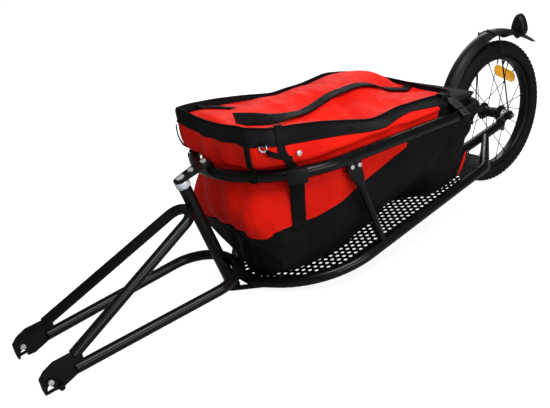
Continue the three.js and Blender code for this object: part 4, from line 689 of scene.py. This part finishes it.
def fender_values(angle):
    past = max(0.0, (angle - FLARE_START) / (FENDER_END - FLARE_START))
    before = clamped((BAND - angle) / (BAND - FENDER_START))
    lead = eased(min(1.0, before * (BAND - FENDER_START) / FLAP_SPREAD))
    near = eased(max(0.0, 1 - abs(angle - FLAP) / FLAP_SPREAD))
    width = (WIDTH + (FRONT_WIDTH - WIDTH) * lead) * (1 - past) + TIP_WIDTH * past
    drop = (DROP + (FRONT_DROP - DROP) * lead + FLAP_DROP * near) * (1 - past * 0.9)
    return FENDER_RADIUS + FLARE * past ** 2 - TUCK * before, width / 2, drop


def fender_ring(angle, outset=0.0, wall=FENDER_WALL):
    crown, half, drop = fender_values(angle)
    crown, half = crown + outset, half + outset
    shares = [-1 + 2 * k / 20 for k in range(21)]
    rows = [wheel_at(crown - drop * s * s, angle, s * half) for s in shares]
    inner = [(s, s * (half - wall * abs(s))) for s in reversed(shares)]
    return rows + [wheel_at(crown - wall - drop * s * s, angle, y) for s, y in inner]


span = (FENDER_END - FENDER_START) / FENDER_STEPS
blade = skin([fender_ring(FENDER_START + span * k) for k in range(FENDER_STEPS + 1)])
made("fender_blade", *blade, black_plastic, ["fender"], smooth=50)
band = skin([fender_ring(BAND + s * BAND_HALF / FENDER_RADIUS, BAND_OUTSET + rise, 2.0)
             for s, rise in ((-1, -0.4), (-0.85, 0), (0.85, 0), (1, -0.4))])
made("fender_clip", *band, black_plastic, ["fender_band"])
crown, half, drop = fender_values(BAND)
for side, sign in SIDES:
    top = Vector(wheel_at(crown - drop + 6, BAND, sign * (half + 4.6)))
    eye = Vector((0, sign * EYE_Y, HUB[2]))
    wire = sweep([eye.lerp(top, 8.0 / (top - eye).length), top], STAY_WIRE, 14)
    washer = rounded([(5.4, -0.9), (9.0, -0.9), (9.0, 0.9), (5.4, 0.9)], 0.4)
    eyelet = lathe([(r, sign * EYE_Y + h) for r, h in washer], 40, HUB, axis="y")
    made("fender_stay_wire_" + side, *merge(wire, eyelet), black_paint, ["fender_stay_" + side], smooth=45)
refine("reflector_housing", black_plastic, 0.0012, 42.0)
refine("reflector_lens", red_lens, 0.0006, 42.0)


# Bag: one lofted shell, its rows set so that seams and colour edges fall on them
# The shares go from the rear middle to the front middle, and the tables of heights give x and z
PER_SPAN = 8
LAST = 12
SIDE_SHARES = [[0.2, 1], [0.32, 1], [0.5, 1], [0.68, 1]]
FLOOR_SHARES = [[0, 0], [0, 0.74], [0.03, 0.92], [0.1, 0.97], [0.2, 0.92], [0.32, 0.5], [0.5, 0.62],
                [0.68, 0.73], [0.8, 0.68], [0.9, 0.52], [0.96, 0.34], [0.99, 0.17], [1, 0]]
LOW_SHARES = [[0, 0], [0, 0.8], [0.012, 0.955], [0.08, 1], *SIDE_SHARES,
              [0.82, 0.985], [0.93, 0.94], [0.99, 0.82], [0.985, 0.5], [0.985, 0]]
WAIST_SHARES = [[0, 0], [0, 0.8], [0.012, 0.955], [0.08, 1], *SIDE_SHARES,
                [0.82, 0.98], [0.93, 0.9], [0.985, 0.76], [1, 0.55], [1, 0]]
ROUND_SHARES = [[0, 0], [0, 0.74], [0.03, 0.92], [0.1, 0.995], [0.2, 1], [0.32, 1], [0.5, 1],
                [0.68, 0.995], [0.82, 0.925], [0.92, 0.69], [0.975, 0.4], [0.995, 0.2], [1, 0]]
SHOULDER_SHARES = [[0, 0], [0, 0.78], [0.025, 0.92], [0.08, 0.97], [0.2, 0.99], [0.32, 1], [0.5, 1],
                   [0.68, 1], [0.82, 0.98], [0.92, 0.89], [0.975, 0.74], [1, 0.5], [1, 0]]
BAND_SHARES = [[0, 0], [0, 0.8], [0.03, 0.98], [0.1, 1.02], *SIDE_SHARES,
               [0.82, 1.02], [0.93, 1.0], [0.985, 0.86], [1, 0.66], [1, 0]]
RIM_SHARES = [[0, 0], [0, 0.8], [0.03, 0.98], [0.1, 1.01], *SIDE_SHARES,
              [0.82, 1.01], [0.935, 1.0], [0.985, 0.81], [1, 0.64], [1, 0]]
FAR_SHARES = [[0, 0], [0, 0.8], [0.03, 0.98], [0.1, 1.01], *SIDE_SHARES,
              [0.82, 1.01], [0.94, 1.02], [0.99, 1.03], [1, 0.93], [1, 0]]
NEAR_RIM = [(338, 346), (400, 349), (448, 350), (544, 350), (584, 343), (613, 340), (637, 344), (680, 353),
            (757, 368), (842, 380), (905, 385)]
FAR_RIM = [(338, 352), (360, 362), (417, 376), (486, 385), (569, 373), (616, 372), (656, 368), (738, 380),
           (817, 388), (894, 391), (915, 387)]
NEAR_DROP = [(340, 12), (448, 12), (500, 10), (560, 6), (595, 5), (637, 14), (680, 20), (757, 24), (840, 26),
             (905, 26)]
FAR_RIDGE = [(340, 352), (403, 381), (461, 394), (543, 391), (600, 384), (700, 372), (800, 372), (880, 382),
             (905, 384)]
CENTRE = [(340, 336), (360, 337), (413, 345), (473, 367), (528, 377), (560, 375), (607, 371), (682, 356),
          (774, 359), (865, 380), (905, 384)]
NEAR_RIDGE = [(340, 340), (360, 344), (480, 350), (600, 338), (680, 340), (760, 351), (860, 372), (905, 379)]
SEAM = [(532, 271), (583, 248), (621, 237), (660, 224), (683, 213), (720, 196), (759, 186), (786, 182),
        (829, 179), (862, 179), (905, 184), (931, 186)]
SEAM_END_X, RED_END_X = 532.0, 442.0
RIM_REAR, RIM_FRONT, RIM_HALF, BLEND_HALF, FAR_DROP = 345, 917, 151, 140, 22
HOLLOW_X, HOLLOW_SPAN, HOLLOW_Y, HOLLOW_HALF, HOLLOW_DEPTH = 850, 50, -20, 100, 8.0
RAIL_ROOM, FLOOR_GAP, LOW_RISE, WAIST_RISE, SHOULDER_RISE, BAND_RISE = 15, 1.2, 89, 88, 28, 31


def spline(points, where):
    p = np.array(points, float)
    ext = np.vstack([2 * p[0] - p[1], p, 2 * p[-1] - p[-2]])
    where = np.clip(np.asarray(where, float), 0, len(p) - 1)
    i = np.minimum(where.astype(int), len(p) - 2)
    t = (where - i)[:, None]
    a, b, c, d = ext[i], ext[i + 1], ext[i + 2], ext[i + 3]
    bend, twist = 2 * a - 5 * b + 4 * c - d, 3 * b - a - 3 * c + d
    return 0.5 * (2 * b + (c - a) * t + bend * t ** 2 + twist * t ** 3)


def height(table, x):
    xs, zs = zip(*table)
    return sum(np.interp(np.asarray(x) + d, xs, zs) for d in (-18, -12, -6, 0, 6, 12, 18)) / 7


def rim_height(x, y):
    """The rim runs from the far height to the near one, with a hollow in the middle of its front."""
    x, y = np.asarray(x), np.asarray(y)
    share = eased(np.clip((y + BLEND_HALF) / (2 * BLEND_HALF), 0, 1))
    hollow = np.clip((x - HOLLOW_X) / HOLLOW_SPAN, 0, 1)
    hollow = hollow * np.clip(1 - (y - HOLLOW_Y) ** 2 / HOLLOW_HALF ** 2, 0, 1)
    return height(FAR_RIM, x) * (1 - share) + height(NEAR_RIM, x) * share - HOLLOW_DEPTH * hollow


def outline(shares, rear, front, half, far_shares=None):
    """The ring from the rear middle round the far side to the front, and back along the near side."""
    where = np.arange(0, LAST * PER_SPAN + 1) / PER_SPAN
    near, far = spline(shares, where), spline(far_shares or shares, where)
    x = rear + (front - rear) * np.concatenate([far[:, 0], near[-2:0:-1, 0]])
    return x, half * np.concatenate([-far[:, 1], near[-2:0:-1, 1]])


def ring_of(shares, rear, front, half, z, far_shares=None):
    x, y = outline(shares, rear, front, half, far_shares)
    return np.stack([x, y, z(x, y)], 1)


def rim_ring(inset, rise):
    ring = ring_of(RIM_SHARES, RIM_REAR + inset, RIM_FRONT - inset, RIM_HALF - inset, rim_height, FAR_SHARES)
    return ring + np.array([0, 0, rise])


def waist_height(x, y):
    return (deck_z(x) + WAIST_RISE + rail_z(x) - RAIL_ROOM) / 2


def band_height(x, y):
    return rail_z(x) + BAND_RISE + (rim_height(x, y) - rail_z(x) - BAND_RISE) * 0.6


def seam_height(x, y):
    side = height(SEAM, x)
    front = np.interp(y, [-118, -90, -37, 21, 48, 123, 170], [160, 156, 150, 154, 153, 169, 184])
    share = np.clip((x - 840) / 70, 0, 1)
    return side * (1 - share) + front * share


bag_rows = [
    ring_of(FLOOR_SHARES, 306, 862, 143, lambda x, y: deck_z(x) + FLOOR_GAP),
    ring_of(LOW_SHARES, 304, 888, 156, lambda x, y: deck_z(x) + LOW_RISE),
    ring_of(WAIST_SHARES, 292, 924, 167, waist_height),
    ring_of(ROUND_SHARES, 302, 927, 178, lambda x, y: rail_z(x) - RAIL_ROOM),
    ring_of(ROUND_SHARES, 298, 927, 179, lambda x, y: rail_z(x) + RAIL_ROOM),
    ring_of(SHOULDER_SHARES, 294, 927, 186, lambda x, y: rail_z(x) + SHOULDER_RISE),
    ring_of(BAND_SHARES, 312, 926, 167, band_height),
    rim_ring(0, 0),
]
columns = len(bag_rows[0])
profiles = [np.array([row[k] for row in bag_rows]) for k in range(columns)]


def crossing(profile, z, first, last):
    """Where along a column's profile it reaches a height."""
    steps = np.linspace(first, last, 80)
    heights = spline(profile, steps)[:, 2]
    over = np.nonzero(heights >= z)[0]
    return float(steps[over[0]]) if len(over) else last


# Rows of the shell in each span between two of the bag's rings, and the rows where the spans end
SPANS = (14, 9, 3, 4, 4, 4)
SEAM_ROW, RAIL_LOW_ROW, RAIL_HIGH_ROW, _, EDGE_ROW, RIM_ROW = (int(n) for n in np.cumsum(SPANS))
marks = []
for k, profile in enumerate(profiles):
    x, y = profile[3][0], profile[3][1]
    seam = crossing(profile, float(seam_height(x, y)), 0.2, 2.9) if x > SEAM_END_X - 60 else 2.5
    top = profile[7]
    share = clamped((top[1] + BLEND_HALF) / (2 * BLEND_HALF))
    drop = FAR_DROP * (1 - share) + float(height(NEAR_DROP, top[0])) * share
    edge = crossing(profile, top[2] - drop, 5.1, 6.8)
    marks.append([0.0, seam, 3.0, 4.0, 5.0, edge, 7.0])
marks = np.array(marks)
ease = np.array([0.25, 0.5, 0.25])
for column in (1, 5):
    around = np.concatenate([marks[-1:, column], marks[:, column], marks[:1, column]])
    marks[:, column] = np.convolve(around, ease, "valid")


def ripple(x, y, z):
    return mathutils.noise.noise(Vector((x, y, z)))


def fold(s, z, seed):
    """Soft folds of the cloth: broad and narrow upright ones and some that lie flat."""
    broad, narrow = ripple(s * 0.016, z * 0.0035, seed), ripple(s * 0.041, z * 0.008, seed + 7.3)
    return broad + 0.45 * narrow + 0.4 * ripple(s * 0.012, z * 0.022, seed + 3.7)


# Folds of the front panel: direction in degrees, height, width in degrees, lean in degrees for each 10 mm up
FRONT_FOLDS = [(33, 9.0, 3.6, 0.35), (24.5, -6.5, 3.6, 0.3), (14, 4.5, 4.5, 0.1), (4, -6.5, 3.6, -0.1),
               (-6, 6.5, 4.0, 0.0), (-17, -7.0, 4.0, 0.1), (-28, 4.5, 5.0, 0.0), (45, -5.0, 4.5, 0.2),
               (58, 3.0, 6.0, 0.0)]
zones = [span for span, count in enumerate(SPANS) for _ in range(count)]
grid = []
for k, profile in enumerate(profiles):
    stations = [marks[k][span] + (marks[k][span + 1] - marks[k][span]) * i / count
                for span, count in enumerate(SPANS) for i in range(count)]
    grid.append(spline(profile, stations + [7.0]))
grid = np.array(grid)
BAG_MIDDLE, LEVEL_ROW = np.array([600.0, 0.0]), 20
FOLD_HEIGHT, FRONT_EXTRA, FRONT_X, FRONT_SPAN, FOLDS_FROM_X, FOLDS_Z = 3.0, 1.6, 800, 60, 780, 260
arc_length = np.concatenate([[0], np.cumsum(np.linalg.norm(np.diff(grid[:, LEVEL_ROW, :2], axis=0), axis=1))])


def fold_weight(i):
    """How freely a row may fold: nothing at the rail and at the rim, most half way between."""
    if i < RAIL_LOW_ROW:
        return math.sin(math.pi * min(1.0, i / RAIL_LOW_ROW * 1.02)) ** 0.7
    if i <= RAIL_HIGH_ROW:
        return 0.0
    return 0.55 * math.sin(math.pi * (i - RAIL_HIGH_ROW) / (RIM_ROW + 1 - RAIL_HIGH_ROW))


for k in range(columns):
    along = grid[(k + 1) % columns, :, :2] - grid[k - 1, :, :2]
    out = np.stack([along[:, 1], -along[:, 0]], 1)
    out /= np.linalg.norm(out, axis=1)[:, None] + 1e-9
    if np.dot(out[LEVEL_ROW], grid[k, LEVEL_ROW, :2] - BAG_MIDDLE) < 0:
        out = -out
    for i in range(RIM_ROW + 1):
        x, y, z = grid[k, i]
        weight = fold_weight(i)
        strong = FOLD_HEIGHT + FRONT_EXTRA * clamped((x - FRONT_X) / FRONT_SPAN)
        move = fold(arc_length[k], z, 1.7) * strong * weight
        if x > FOLDS_FROM_X:
            heading = math.degrees(math.atan2(y, x - RAIL_BEND_X))
            move += weight * sum(size * math.exp(-((heading - at - lean * (z - FOLDS_Z) / 10) / wide) ** 2)
                                 for at, size, wide, lean in FRONT_FOLDS)
        grid[k, i, :2] += out[i] * move

# The stiff band folds over the rim and down inside it: inset and rise of each row
LIP = [(1.2, 2.0), (3.0, 2.4), (4.6, 1.0), (5.2, -3.5), (5.5, -10.0)]
full = np.concatenate([grid, np.stack([rim_ring(*step) for step in LIP], 1)], 1)
rows_all = full.shape[1]
bag_faces = quads(columns, rows_all, closed=True)
bag_colours = []
for k in range(columns):
    x = (bag_rows[5][k][0] + bag_rows[5][(k + 1) % columns][0]) / 2
    for span in zones + [9] * (rows_all - 1 - len(zones)):
        red = (span == 1 and x > SEAM_END_X) or (span in (2, 3, 4) and x > RED_END_X)
        bag_colours.append(1 if red else 0)
for k in range(columns // 2):
    corners = dict.fromkeys([k, k + 1, (columns - k - 1) % columns, (columns - k) % columns])
    bag_faces.append(tuple(c * rows_all for c in corners))
    bag_colours.append(0)


CLOTH = {"quality": 6, "mass": 0.35, "tension_stiffness": 18, "compression_stiffness": 18,
         "shear_stiffness": 6, "bending_stiffness": 0.9, "use_pressure": True, "vertex_group_mass": "held"}


def points_of(mesh):
    flat = np.empty(len(mesh.vertices) * 3)
    mesh.vertices.foreach_get("co", flat)
    return flat.reshape(-1, 3)


def settle(obj, shape, wraps, held, pressure, slack, frames, cap):
    """Cloth folds by itself between the held points, each moving by the cap at most. Returns its grid."""
    mesh = obj.data
    before = points_of(mesh)
    group = obj.vertex_groups.new(name="held")
    for index, weight in held.items():
        group.add([index], weight, "REPLACE")
    cloth = obj.modifiers.new("cloth", "CLOTH")
    for key, value in CLOTH.items():
        setattr(cloth.settings, key, value)
    cloth.settings.shrink_min = -slack
    cloth.settings.uniform_pressure_force = pressure
    cloth.settings.effector_weights.gravity = 0
    cloth.collision_settings.use_collision = False
    cloth.point_cache.frame_start, cloth.point_cache.frame_end = 1, frames
    for frame_number in range(1, frames + 1):
        bpy.context.scene.frame_set(frame_number)
    evaluated = obj.evaluated_get(bpy.context.evaluated_depsgraph_get())
    move = (points_of(evaluated.data) - before).reshape(*shape, 3)
    fixed = np.zeros(shape).ravel()
    for index, weight in held.items():
        fixed[index] = weight
    loose = (1 - fixed).reshape(*shape, 1)
    for _ in range(3):
        ends = (move[-1:], move[:1]) if wraps else (move[:1], move[-1:])
        padded = np.concatenate([ends[0], move, ends[1]])
        beside = (padded[:-2] + padded[2:]) / 2
        tall = np.concatenate([move[:, :1], move, move[:, -1:]], 1)
        move = (0.4 * move + 0.3 * beside + 0.3 * (tall[:, :-2] + tall[:, 2:]) / 2) * loose
    length = np.linalg.norm(move, axis=2, keepdims=True)
    move = move * np.minimum(1.0, cap * MM / np.maximum(length, 1e-9))
    before = before + move.reshape(-1, 3)
    obj.modifiers.remove(cloth)
    obj.vertex_groups.remove(group)
    bpy.context.scene.frame_set(1)
    mesh.vertices.foreach_set("co", before.ravel())
    mesh.update()
    return (before / MM + np.array([SHIFT, 0, 0])).reshape(*shape, 3)


def finer(obj, levels=1):
    smooth = obj.modifiers.new("finer", "SUBSURF")
    smooth.levels = smooth.render_levels = levels


bag_verts = [tuple(p) for p in full.reshape(-1, 3)]
shell = made("bag_shell", bag_verts, bag_faces, (black_cloth, red_cloth), ["cargo_bag"], smooth=None,
             colours=bag_colours)
bag_held = {}
for k in range(columns):
    for i in range(rows_all):
        if i < 2 or RAIL_LOW_ROW - 1 <= i <= RAIL_HIGH_ROW or i >= EDGE_ROW - 1:
            bag_held[k * rows_all + i] = 1.0
        elif abs(i - SEAM_ROW) < 2:
            bag_held[k * rows_all + i] = 0.75 if i == SEAM_ROW else 0.3
full = settle(shell, (columns, rows_all), True, bag_held, 1.2, 0.03, 16, 7.0)
finer(shell)


# Top: one sheet laid between the bands, rising and dipping over the load
TOP_INSET, TOP_REAR, TOP_FRONT = 5.2, 350.4, 911.4


def rim_half(x, shares):
    side = spline(shares, np.arange(0, LAST * PER_SPAN + 1) / PER_SPAN)[PER_SPAN:-PER_SPAN]
    xs = RIM_REAR + TOP_INSET + (RIM_FRONT - RIM_REAR - 2 * TOP_INSET) * side[:, 0]
    return (RIM_HALF - TOP_INSET) * float(np.interp(x, np.maximum.accumulate(xs), side[:, 1]))


def top_height(x, y):
    far_drop = np.interp(x, [400, 650, 743, 880], [5, 3, 9, 14])
    rows = [(-146, float(rim_height(x, -146)) - far_drop), (-60, float(height(FAR_RIDGE, x))),
            (10, float(height(CENTRE, x)) - 3), (90, float(height(NEAR_RIDGE, x))),
            (146, float(rim_height(x, 146)) - 6)]
    span = next((i for i in range(3) if y < rows[i + 1][0]), 3)
    where = span + (y - rows[span][0]) / (rows[span + 1][0] - rows[span][0])
    z = float(spline([[r[1]] for r in rows], [where])[0][0])
    end = max(0.0, 1 - min(x - 350, 912 - x) / 26)
    return z + (float(rim_height(x, y)) - 7 - z) * end * end


top_x = np.linspace(TOP_REAR, TOP_FRONT, 112)
top_s = np.linspace(-1, 1, 61)
top_verts = []
for x in top_x:
    near_half, far_half = rim_half(x, RIM_SHARES), rim_half(x, FAR_SHARES)
    for s in top_s:
        y = (far_half + near_half) / 2 * s + (near_half - far_half) / 2
        broad = ripple(x * 0.013, y * 0.02, 5.5)
        narrow = ripple(x * 0.04, y * 0.012, 9.1)
        top_verts.append((x, y, top_height(x, y) + (broad * 2.6 + narrow * 1.6) * (1 - abs(s) ** 6)))
long, wide = len(top_x), len(top_s)
top = made("bag_top_sheet", top_verts, quads(long, wide), red_cloth, ["bag_cover"], smooth=None)
top_held = {i * wide + j: 1.0 for i in range(long) for j in range(wide)
            if i in (0, long - 1) or j in (0, wide - 1)}
laid = settle(top, (long, wide), False, top_held, 0.3, 0.018, 14, 4.5)
finer(top)


def laid_height(x, y):
    """How high the settled top lies."""
    i = int(np.clip(np.searchsorted(top_x, x) - 1, 0, long - 2))
    t = clamped((x - top_x[i]) / (top_x[i + 1] - top_x[i]))
    return float(sum(w * np.interp(y, laid[k, :, 1], laid[k, :, 2]) for k, w in ((i, 1 - t), (i + 1, t))))


def walled(obj, thick):
    wall = obj.modifiers.new("wall", "SOLIDIFY")
    wall.thickness = thick * MM
    wall.offset = 0
    return obj


def strip(name, stations, across, material, thick):
    """A band of cloth or webbing: for each station, a point and a half width vector."""
    shares = np.linspace(-1, 1, 7)
    verts = [Vector(p) + Vector(half) * s for p, half in zip(stations, across) for s in shares]
    return walled(made(name, verts, quads(len(stations), len(shares)), material, smooth=None), thick)


# The centre band leans aside and stands up over its front half
# CENTRE was read from the photograph at BAND_Y, so a place aside of that is looked up along the line of sight
BAND_Y, BAND_REAR, BAND_FRONT, BAND_OFF = 10.0, 349, 882, 2.6
LIFT_X, LIFT_SPAN, LIFT_ASIDE, SIGHT_X_SHARE, SIGHT_Z_SHARE = 690, 150, 22, 0.69, 0.34
band_line, band_half = [], []
for x in np.linspace(BAND_REAR, BAND_FRONT, 100):
    lift = eased(clamped((x - LIFT_X) / LIFT_SPAN))
    aside = LIFT_ASIDE * lift
    over = max(laid_height(x, BAND_Y + aside + d) for d in (-8, 0, 8)) + BAND_OFF
    seen = float(height(CENTRE, x - SIGHT_X_SHARE * aside)) + SIGHT_Z_SHARE * aside
    band_line.append((x, BAND_Y + aside, max(over, seen)))
    band_half.append((0, 12 - 5.5 * lift, -2 - 10.5 * lift))
strip("top_centre_band", band_line, band_half, webbing, 2.4)

# Piping on the seams
seam_line = [tuple(full[k, SEAM_ROW]) for k in range(columns) if bag_rows[3][k][0] > SEAM_END_X - 8]
made("panel_seam_piping", *sweep(seam_line, 1.7, 8), black_cloth, smooth=80)
edge_line = [tuple(full[k, EDGE_ROW]) for k in range(columns)]
made("rim_band_piping", *sweep(edge_line, 1.8, 8, closed=True), black_cloth, smooth=80)
crest_line = [(x, y, z + 1.0) for x, y, z in full[:, rows_all - 4]]
made("rim_top_piping", *sweep(crest_line, 2.2, 8, closed=True), webbing, smooth=80)


# Straps: webbing that follows the bag, the rail and the rim, drawn from rays out of the rail's front bend
WRAP, STRAP_THICK, STRAP_OFF, TOP_OFF, STRAP_STEP = TUBE + 1.7, 2.0, 2.8, 3.4, 9
RAIL_NEAR, SLANT_START, SLANT_RISE, OVER_RISE = 14, 4, 50, 90
WRAP_ANGLES = (-52, -30, -8, 15, 38, 60)
RAIL_ROWS = range(RAIL_LOW_ROW - 3, RAIL_HIGH_ROW + 2)
# How the strap turns over the rim: outward and up from the rim's crest
RIM_TURN = ((1.5, 1.5), (0, 4.4), (-5, 5.6), (-12, 2.4))


def reach(row, heading, aside):
    """How far out and how high a ray from the bend's middle meets a row of the bag."""
    pts = np.array([row[:, 0] - RAIL_BEND_X, row[:, 1]]).T
    c, s = math.cos(heading), math.sin(heading)
    u = pts[:, 0] * c + pts[:, 1] * s
    w = -pts[:, 0] * s + pts[:, 1] * c - aside
    best = (0.0, 0.0)
    for k in range(len(u)):
        m = (k + 1) % len(u)
        if (w[k] <= 0 < w[m]) or (w[m] <= 0 < w[k]):
            t = w[k] / (w[k] - w[m])
            r = u[k] + (u[m] - u[k]) * t
            if r > best[0]:
                best = (r, row[k][2] + (row[m][2] - row[k][2]) * t)
    return best


def strap(name, sign, angle, widths, slant, start, end, over, replaced):
    """Webbing of one width up to the rail and another above it, where it slants forward."""
    heading = math.radians(angle)
    along = (math.cos(heading), math.sin(heading))
    cells = 9
    rail_rise = rail_z(RAIL_BEND_X + RAIL_HALF * along[0])
    lines = []
    for share in np.linspace(-0.5, 0.5, cells):

        def aside_at(z):
            up_share = clamped((z - rail_rise - SLANT_START) / SLANT_RISE)
            width = widths[0] + (widths[1] - widths[0]) * min(1.0, up_share * 2)
            return share * width - slant * up_share

        def place(r, z, aside):
            x, y = r * along[0] - aside * along[1], r * along[1] + aside * along[0]
            return (RAIL_BEND_X + x, sign * y, z)

        path = []
        for row in (full[:, i] for i in range(start, end) if i not in RAIL_ROWS):
            r, z = reach(row, heading, aside_at(reach(row, heading, 0.0)[1]))
            if abs(z - rail_rise) > RAIL_NEAR:
                path.append((r + STRAP_OFF, z))
        bend = []
        for a in (math.radians(d) for d in WRAP_ANGLES):
            z = rail_rise + WRAP * math.sin(a)
            bend.append((math.sqrt(RAIL_HALF ** 2 - aside_at(z) ** 2) + WRAP * math.cos(a), z))
        path = [p for p in path if p[1] < rail_rise] + bend + [p for p in path if p[1] > rail_rise]
        line = [place(r, z, aside_at(z)) for r, z in path]
        if over:
            aside = aside_at(rail_rise + OVER_RISE)
            r, z = reach(full[:, rows_all - 5], heading, aside)
            line += [place(r + ahead, z + rise, aside) for ahead, rise in RIM_TURN]
            for step in range(1, over + 1):
                x, y, _ = place(r + RIM_TURN[-1][0] - step * STRAP_STEP, 0, aside)
                line.append((x, y, laid_height(x, y) + TOP_OFF))
        lines.append(line)
    length = min(len(line) for line in lines)
    verts = [line[i] for i in range(length) for line in lines]
    walled(made(name, verts, quads(length, cells), webbing, replaced, smooth=None), STRAP_THICK)


WIDE = (61, (30, 15), 26, SEAM_ROW - 1, rows_all - 5, 9)
NARROW = (37, (12, 12), 0, RAIL_LOW_ROW - 2, EDGE_ROW + 1, 0)
for side, sign in SIDES:
    strap("wide_strap_web_" + side, sign, *WIDE, ["wide_strap_" + side])
    strap("narrow_strap_web_" + side, sign, *NARROW, ["narrow_strap_" + side])
    refine("strap_buckle_" + side, black_plastic, 0.0014)

# The rail's rear bends run in a sleeve of the bag's own cloth
CLOTH_END_X, CLOTH_RADIUS, CLOTH_STEP = 398.0, 13.8, 6
bend_line = [p for p in rail_back if p.x < RAIL_REAR_X + 1 or abs(p.y) < RAIL_HALF - 0.01]
near_end = [Vector((CLOTH_END_X - back, RAIL_HALF, 0)) for back in (20, 0)]
cloth_line = [Vector((p.x, -p.y, 0)) for p in reversed(near_end)] + bend_line + near_end
dense = []
for a, b in zip(cloth_line, cloth_line[1:]):
    steps = max(1, round((b - a).length / CLOTH_STEP))
    dense += [a.lerp(b, i / steps) for i in range(steps)]
dense.append(cloth_line[-1])
dense_radii = []
for k in range(len(dense)):
    swell = min(1.0, min(k, len(dense) - 1 - k) / 14) ** 0.6
    crease = ripple(k * 0.31, 2.0, 4.0) * 1.6
    dense_radii.append(CLOTH_RADIUS + 1.2 * swell + max(0.0, crease) * swell)
sleeve = made("rail_cloth_sleeve", *sweep([rail_at(*p) for p in dense], dense_radii), black_cloth, smooth=80)
finer(sleeve)

# Small fittings on the bag's near front corner
CORNER, CORNER_TURN = Vector((907, 157, 356)), Matrix.Rotation(math.radians(42), 3, "Z")
ring_line = bends([(0, -7, 4), (0, -7, -2), (0, -2.5, -7), (0, 2.5, -7), (0, 7, -2), (0, 7, 4)], 2.6)
ring_line = [CORNER_TURN @ p + CORNER for p in ring_line + [Vector((0, -7, 4))]]
made("d_ring_left", *sweep(ring_line, 1.5, 12), polished, smooth=60)
tab_line = [CORNER_TURN @ Vector(p) + CORNER for p in ((1, 0, 18), (3, 0, 12), (2.4, 0, 4))]
strip("d_ring_tab_left", tab_line, [CORNER_TURN @ Vector((0, 6.5, 0))] * 3, webbing, 2.0)
hook_line = [(904, 162, 348), (890, 171, 340), (872, 177, 333), (858, 181, 327)]
strip("corner_strap_left", hook_line, [(0, 0, 6.0)] * 4, webbing, 2.4)
STUD = [(0.2, -1), (5.0, -1), (6.0, 0.5), (5.6, 2.2), (3.6, 3.2), (0.2, 3.6)]
stud_profile = [(r, 184.5 + h) for r, h in STUD]
made("stud_left", *lathe(stud_profile, 28, (844, 0, 336), axis="y", closed=False), zinc)

# Rear corners: a red seam under the sleeve, and webbing from the rim closed by a side-release buckle
SEAM_DROP = [(316, 158, 196), (322, 157, 178), (329, 155, 160), (337, 153, 141)]
REAR_WEB = [(402, 149, 356), (398, 166, 353), (391, 193, 331), (384, 210, 312), (380, 209, 294)]
BUCKLE = [(402, 179.5, 346), (399, 187.5, 340), (395, 195.5, 333), (392, 200.5, 326)]
TONGUE = [(391, 203.5, 324), (388, 208.5, 318), (385, 213, 311)]
BUCKLE_HALVES, TONGUE_HALVES = (9, 12.5, 12.5, 10.5), (11.5, 10.5, 11)


def on_side(line, sign):
    return [(x, sign * y, z) for x, y, z in line]


for side, sign in SIDES:
    seam = sweep(on_side(SEAM_DROP, sign), [1.2, 3.2, 3.0, 1.2], 10)
    made("corner_seam_" + side, *seam, red_cloth, smooth=80)
for side, sign in SIDES:
    web = bends(on_side(REAR_WEB, sign), 9)
    strip("rear_web_" + side, web, [(9, 0, 0)] * len(web), webbing, 2.2)
    for part, line, halves in (("buckle", BUCKLE, BUCKLE_HALVES), ("tongue", TONGUE, TONGUE_HALVES)):
        across = [(half, 0, 0) for half in halves]
        piece = strip(f"rear_{part}_{side}", on_side(line, sign), across, buckle_plastic, 6.5)
        edge = piece.modifiers.new("eased", "BEVEL")
        edge.width, edge.segments = 1.2 * MM, 2


# Stage and light: the floor is white to the camera only, so that it keeps the shadow
# Reflections see a dim world
FLOOR_SIZE, FLOOR_GLOW = 14.0, 0.87
WORLD_LIGHT, WORLD_MIRRORED = 0.44, 0.10
corners = [(-FLOOR_SIZE, -FLOOR_SIZE, 0), (FLOOR_SIZE, -FLOOR_SIZE, 0), (FLOOR_SIZE, FLOOR_SIZE, 0),
           (-FLOOR_SIZE, FLOOR_SIZE, 0)]
mesh = bpy.data.meshes.new("floor")
mesh.from_pydata(corners, [], [(0, 1, 2, 3)])
mat, tree, bsdf, at = new_material("floor")
rays = node(tree, "ShaderNodeLightPath").outputs
plug(tree, bsdf, Base_Color=blend(tree, noise(tree, at, 3.0), (0.34, 0.34, 0.34), (0.37, 0.37, 0.37)),
     Roughness=0.9, Specular_IOR_Level=0.1, Emission_Color=(1, 1, 1, 1),
     Emission_Strength=maths(tree, "MULTIPLY", rays["Is Camera Ray"], FLOOR_GLOW))
mesh.materials.append(mat)
placed("floor", mesh)

world = bpy.data.worlds.new("world")
bpy.context.scene.world = world
world.use_nodes = True
tree = world.node_tree
rays = node(tree, "ShaderNodeLightPath").outputs
light = maths(tree, "MULTIPLY_ADD", rays["Is Glossy Ray"], WORLD_MIRRORED - WORLD_LIGHT, WORLD_LIGHT)
plug(tree, tree.nodes["Background"], Color=(1, 1, 1, 1),
     Strength=maths(tree, "MAXIMUM", rays["Is Camera Ray"], light))


def softbox(name, place, size, power, aim=(590, 0, 200)):
    data = bpy.data.lights.new(name, "AREA")
    data.shape = "RECTANGLE"
    data.size, data.size_y = size
    data.energy = power
    lamp = placed(name, data)
    lamp.location = metres(place)
    lamp.rotation_mode = "QUATERNION"
    lamp.rotation_quaternion = (metres(aim) - lamp.location).to_track_quat("-Z", "Y")


softbox("key", (820, 1250, 2400), (1.5, 1.1), 46)
softbox("fill", (500, 2600, 900), (1.8, 1.2), 26)
softbox("back", (-900, -1500, 1700), (1.8, 1.0), 26)

scene = bpy.context.scene
scene.view_settings.view_transform = "Standard"
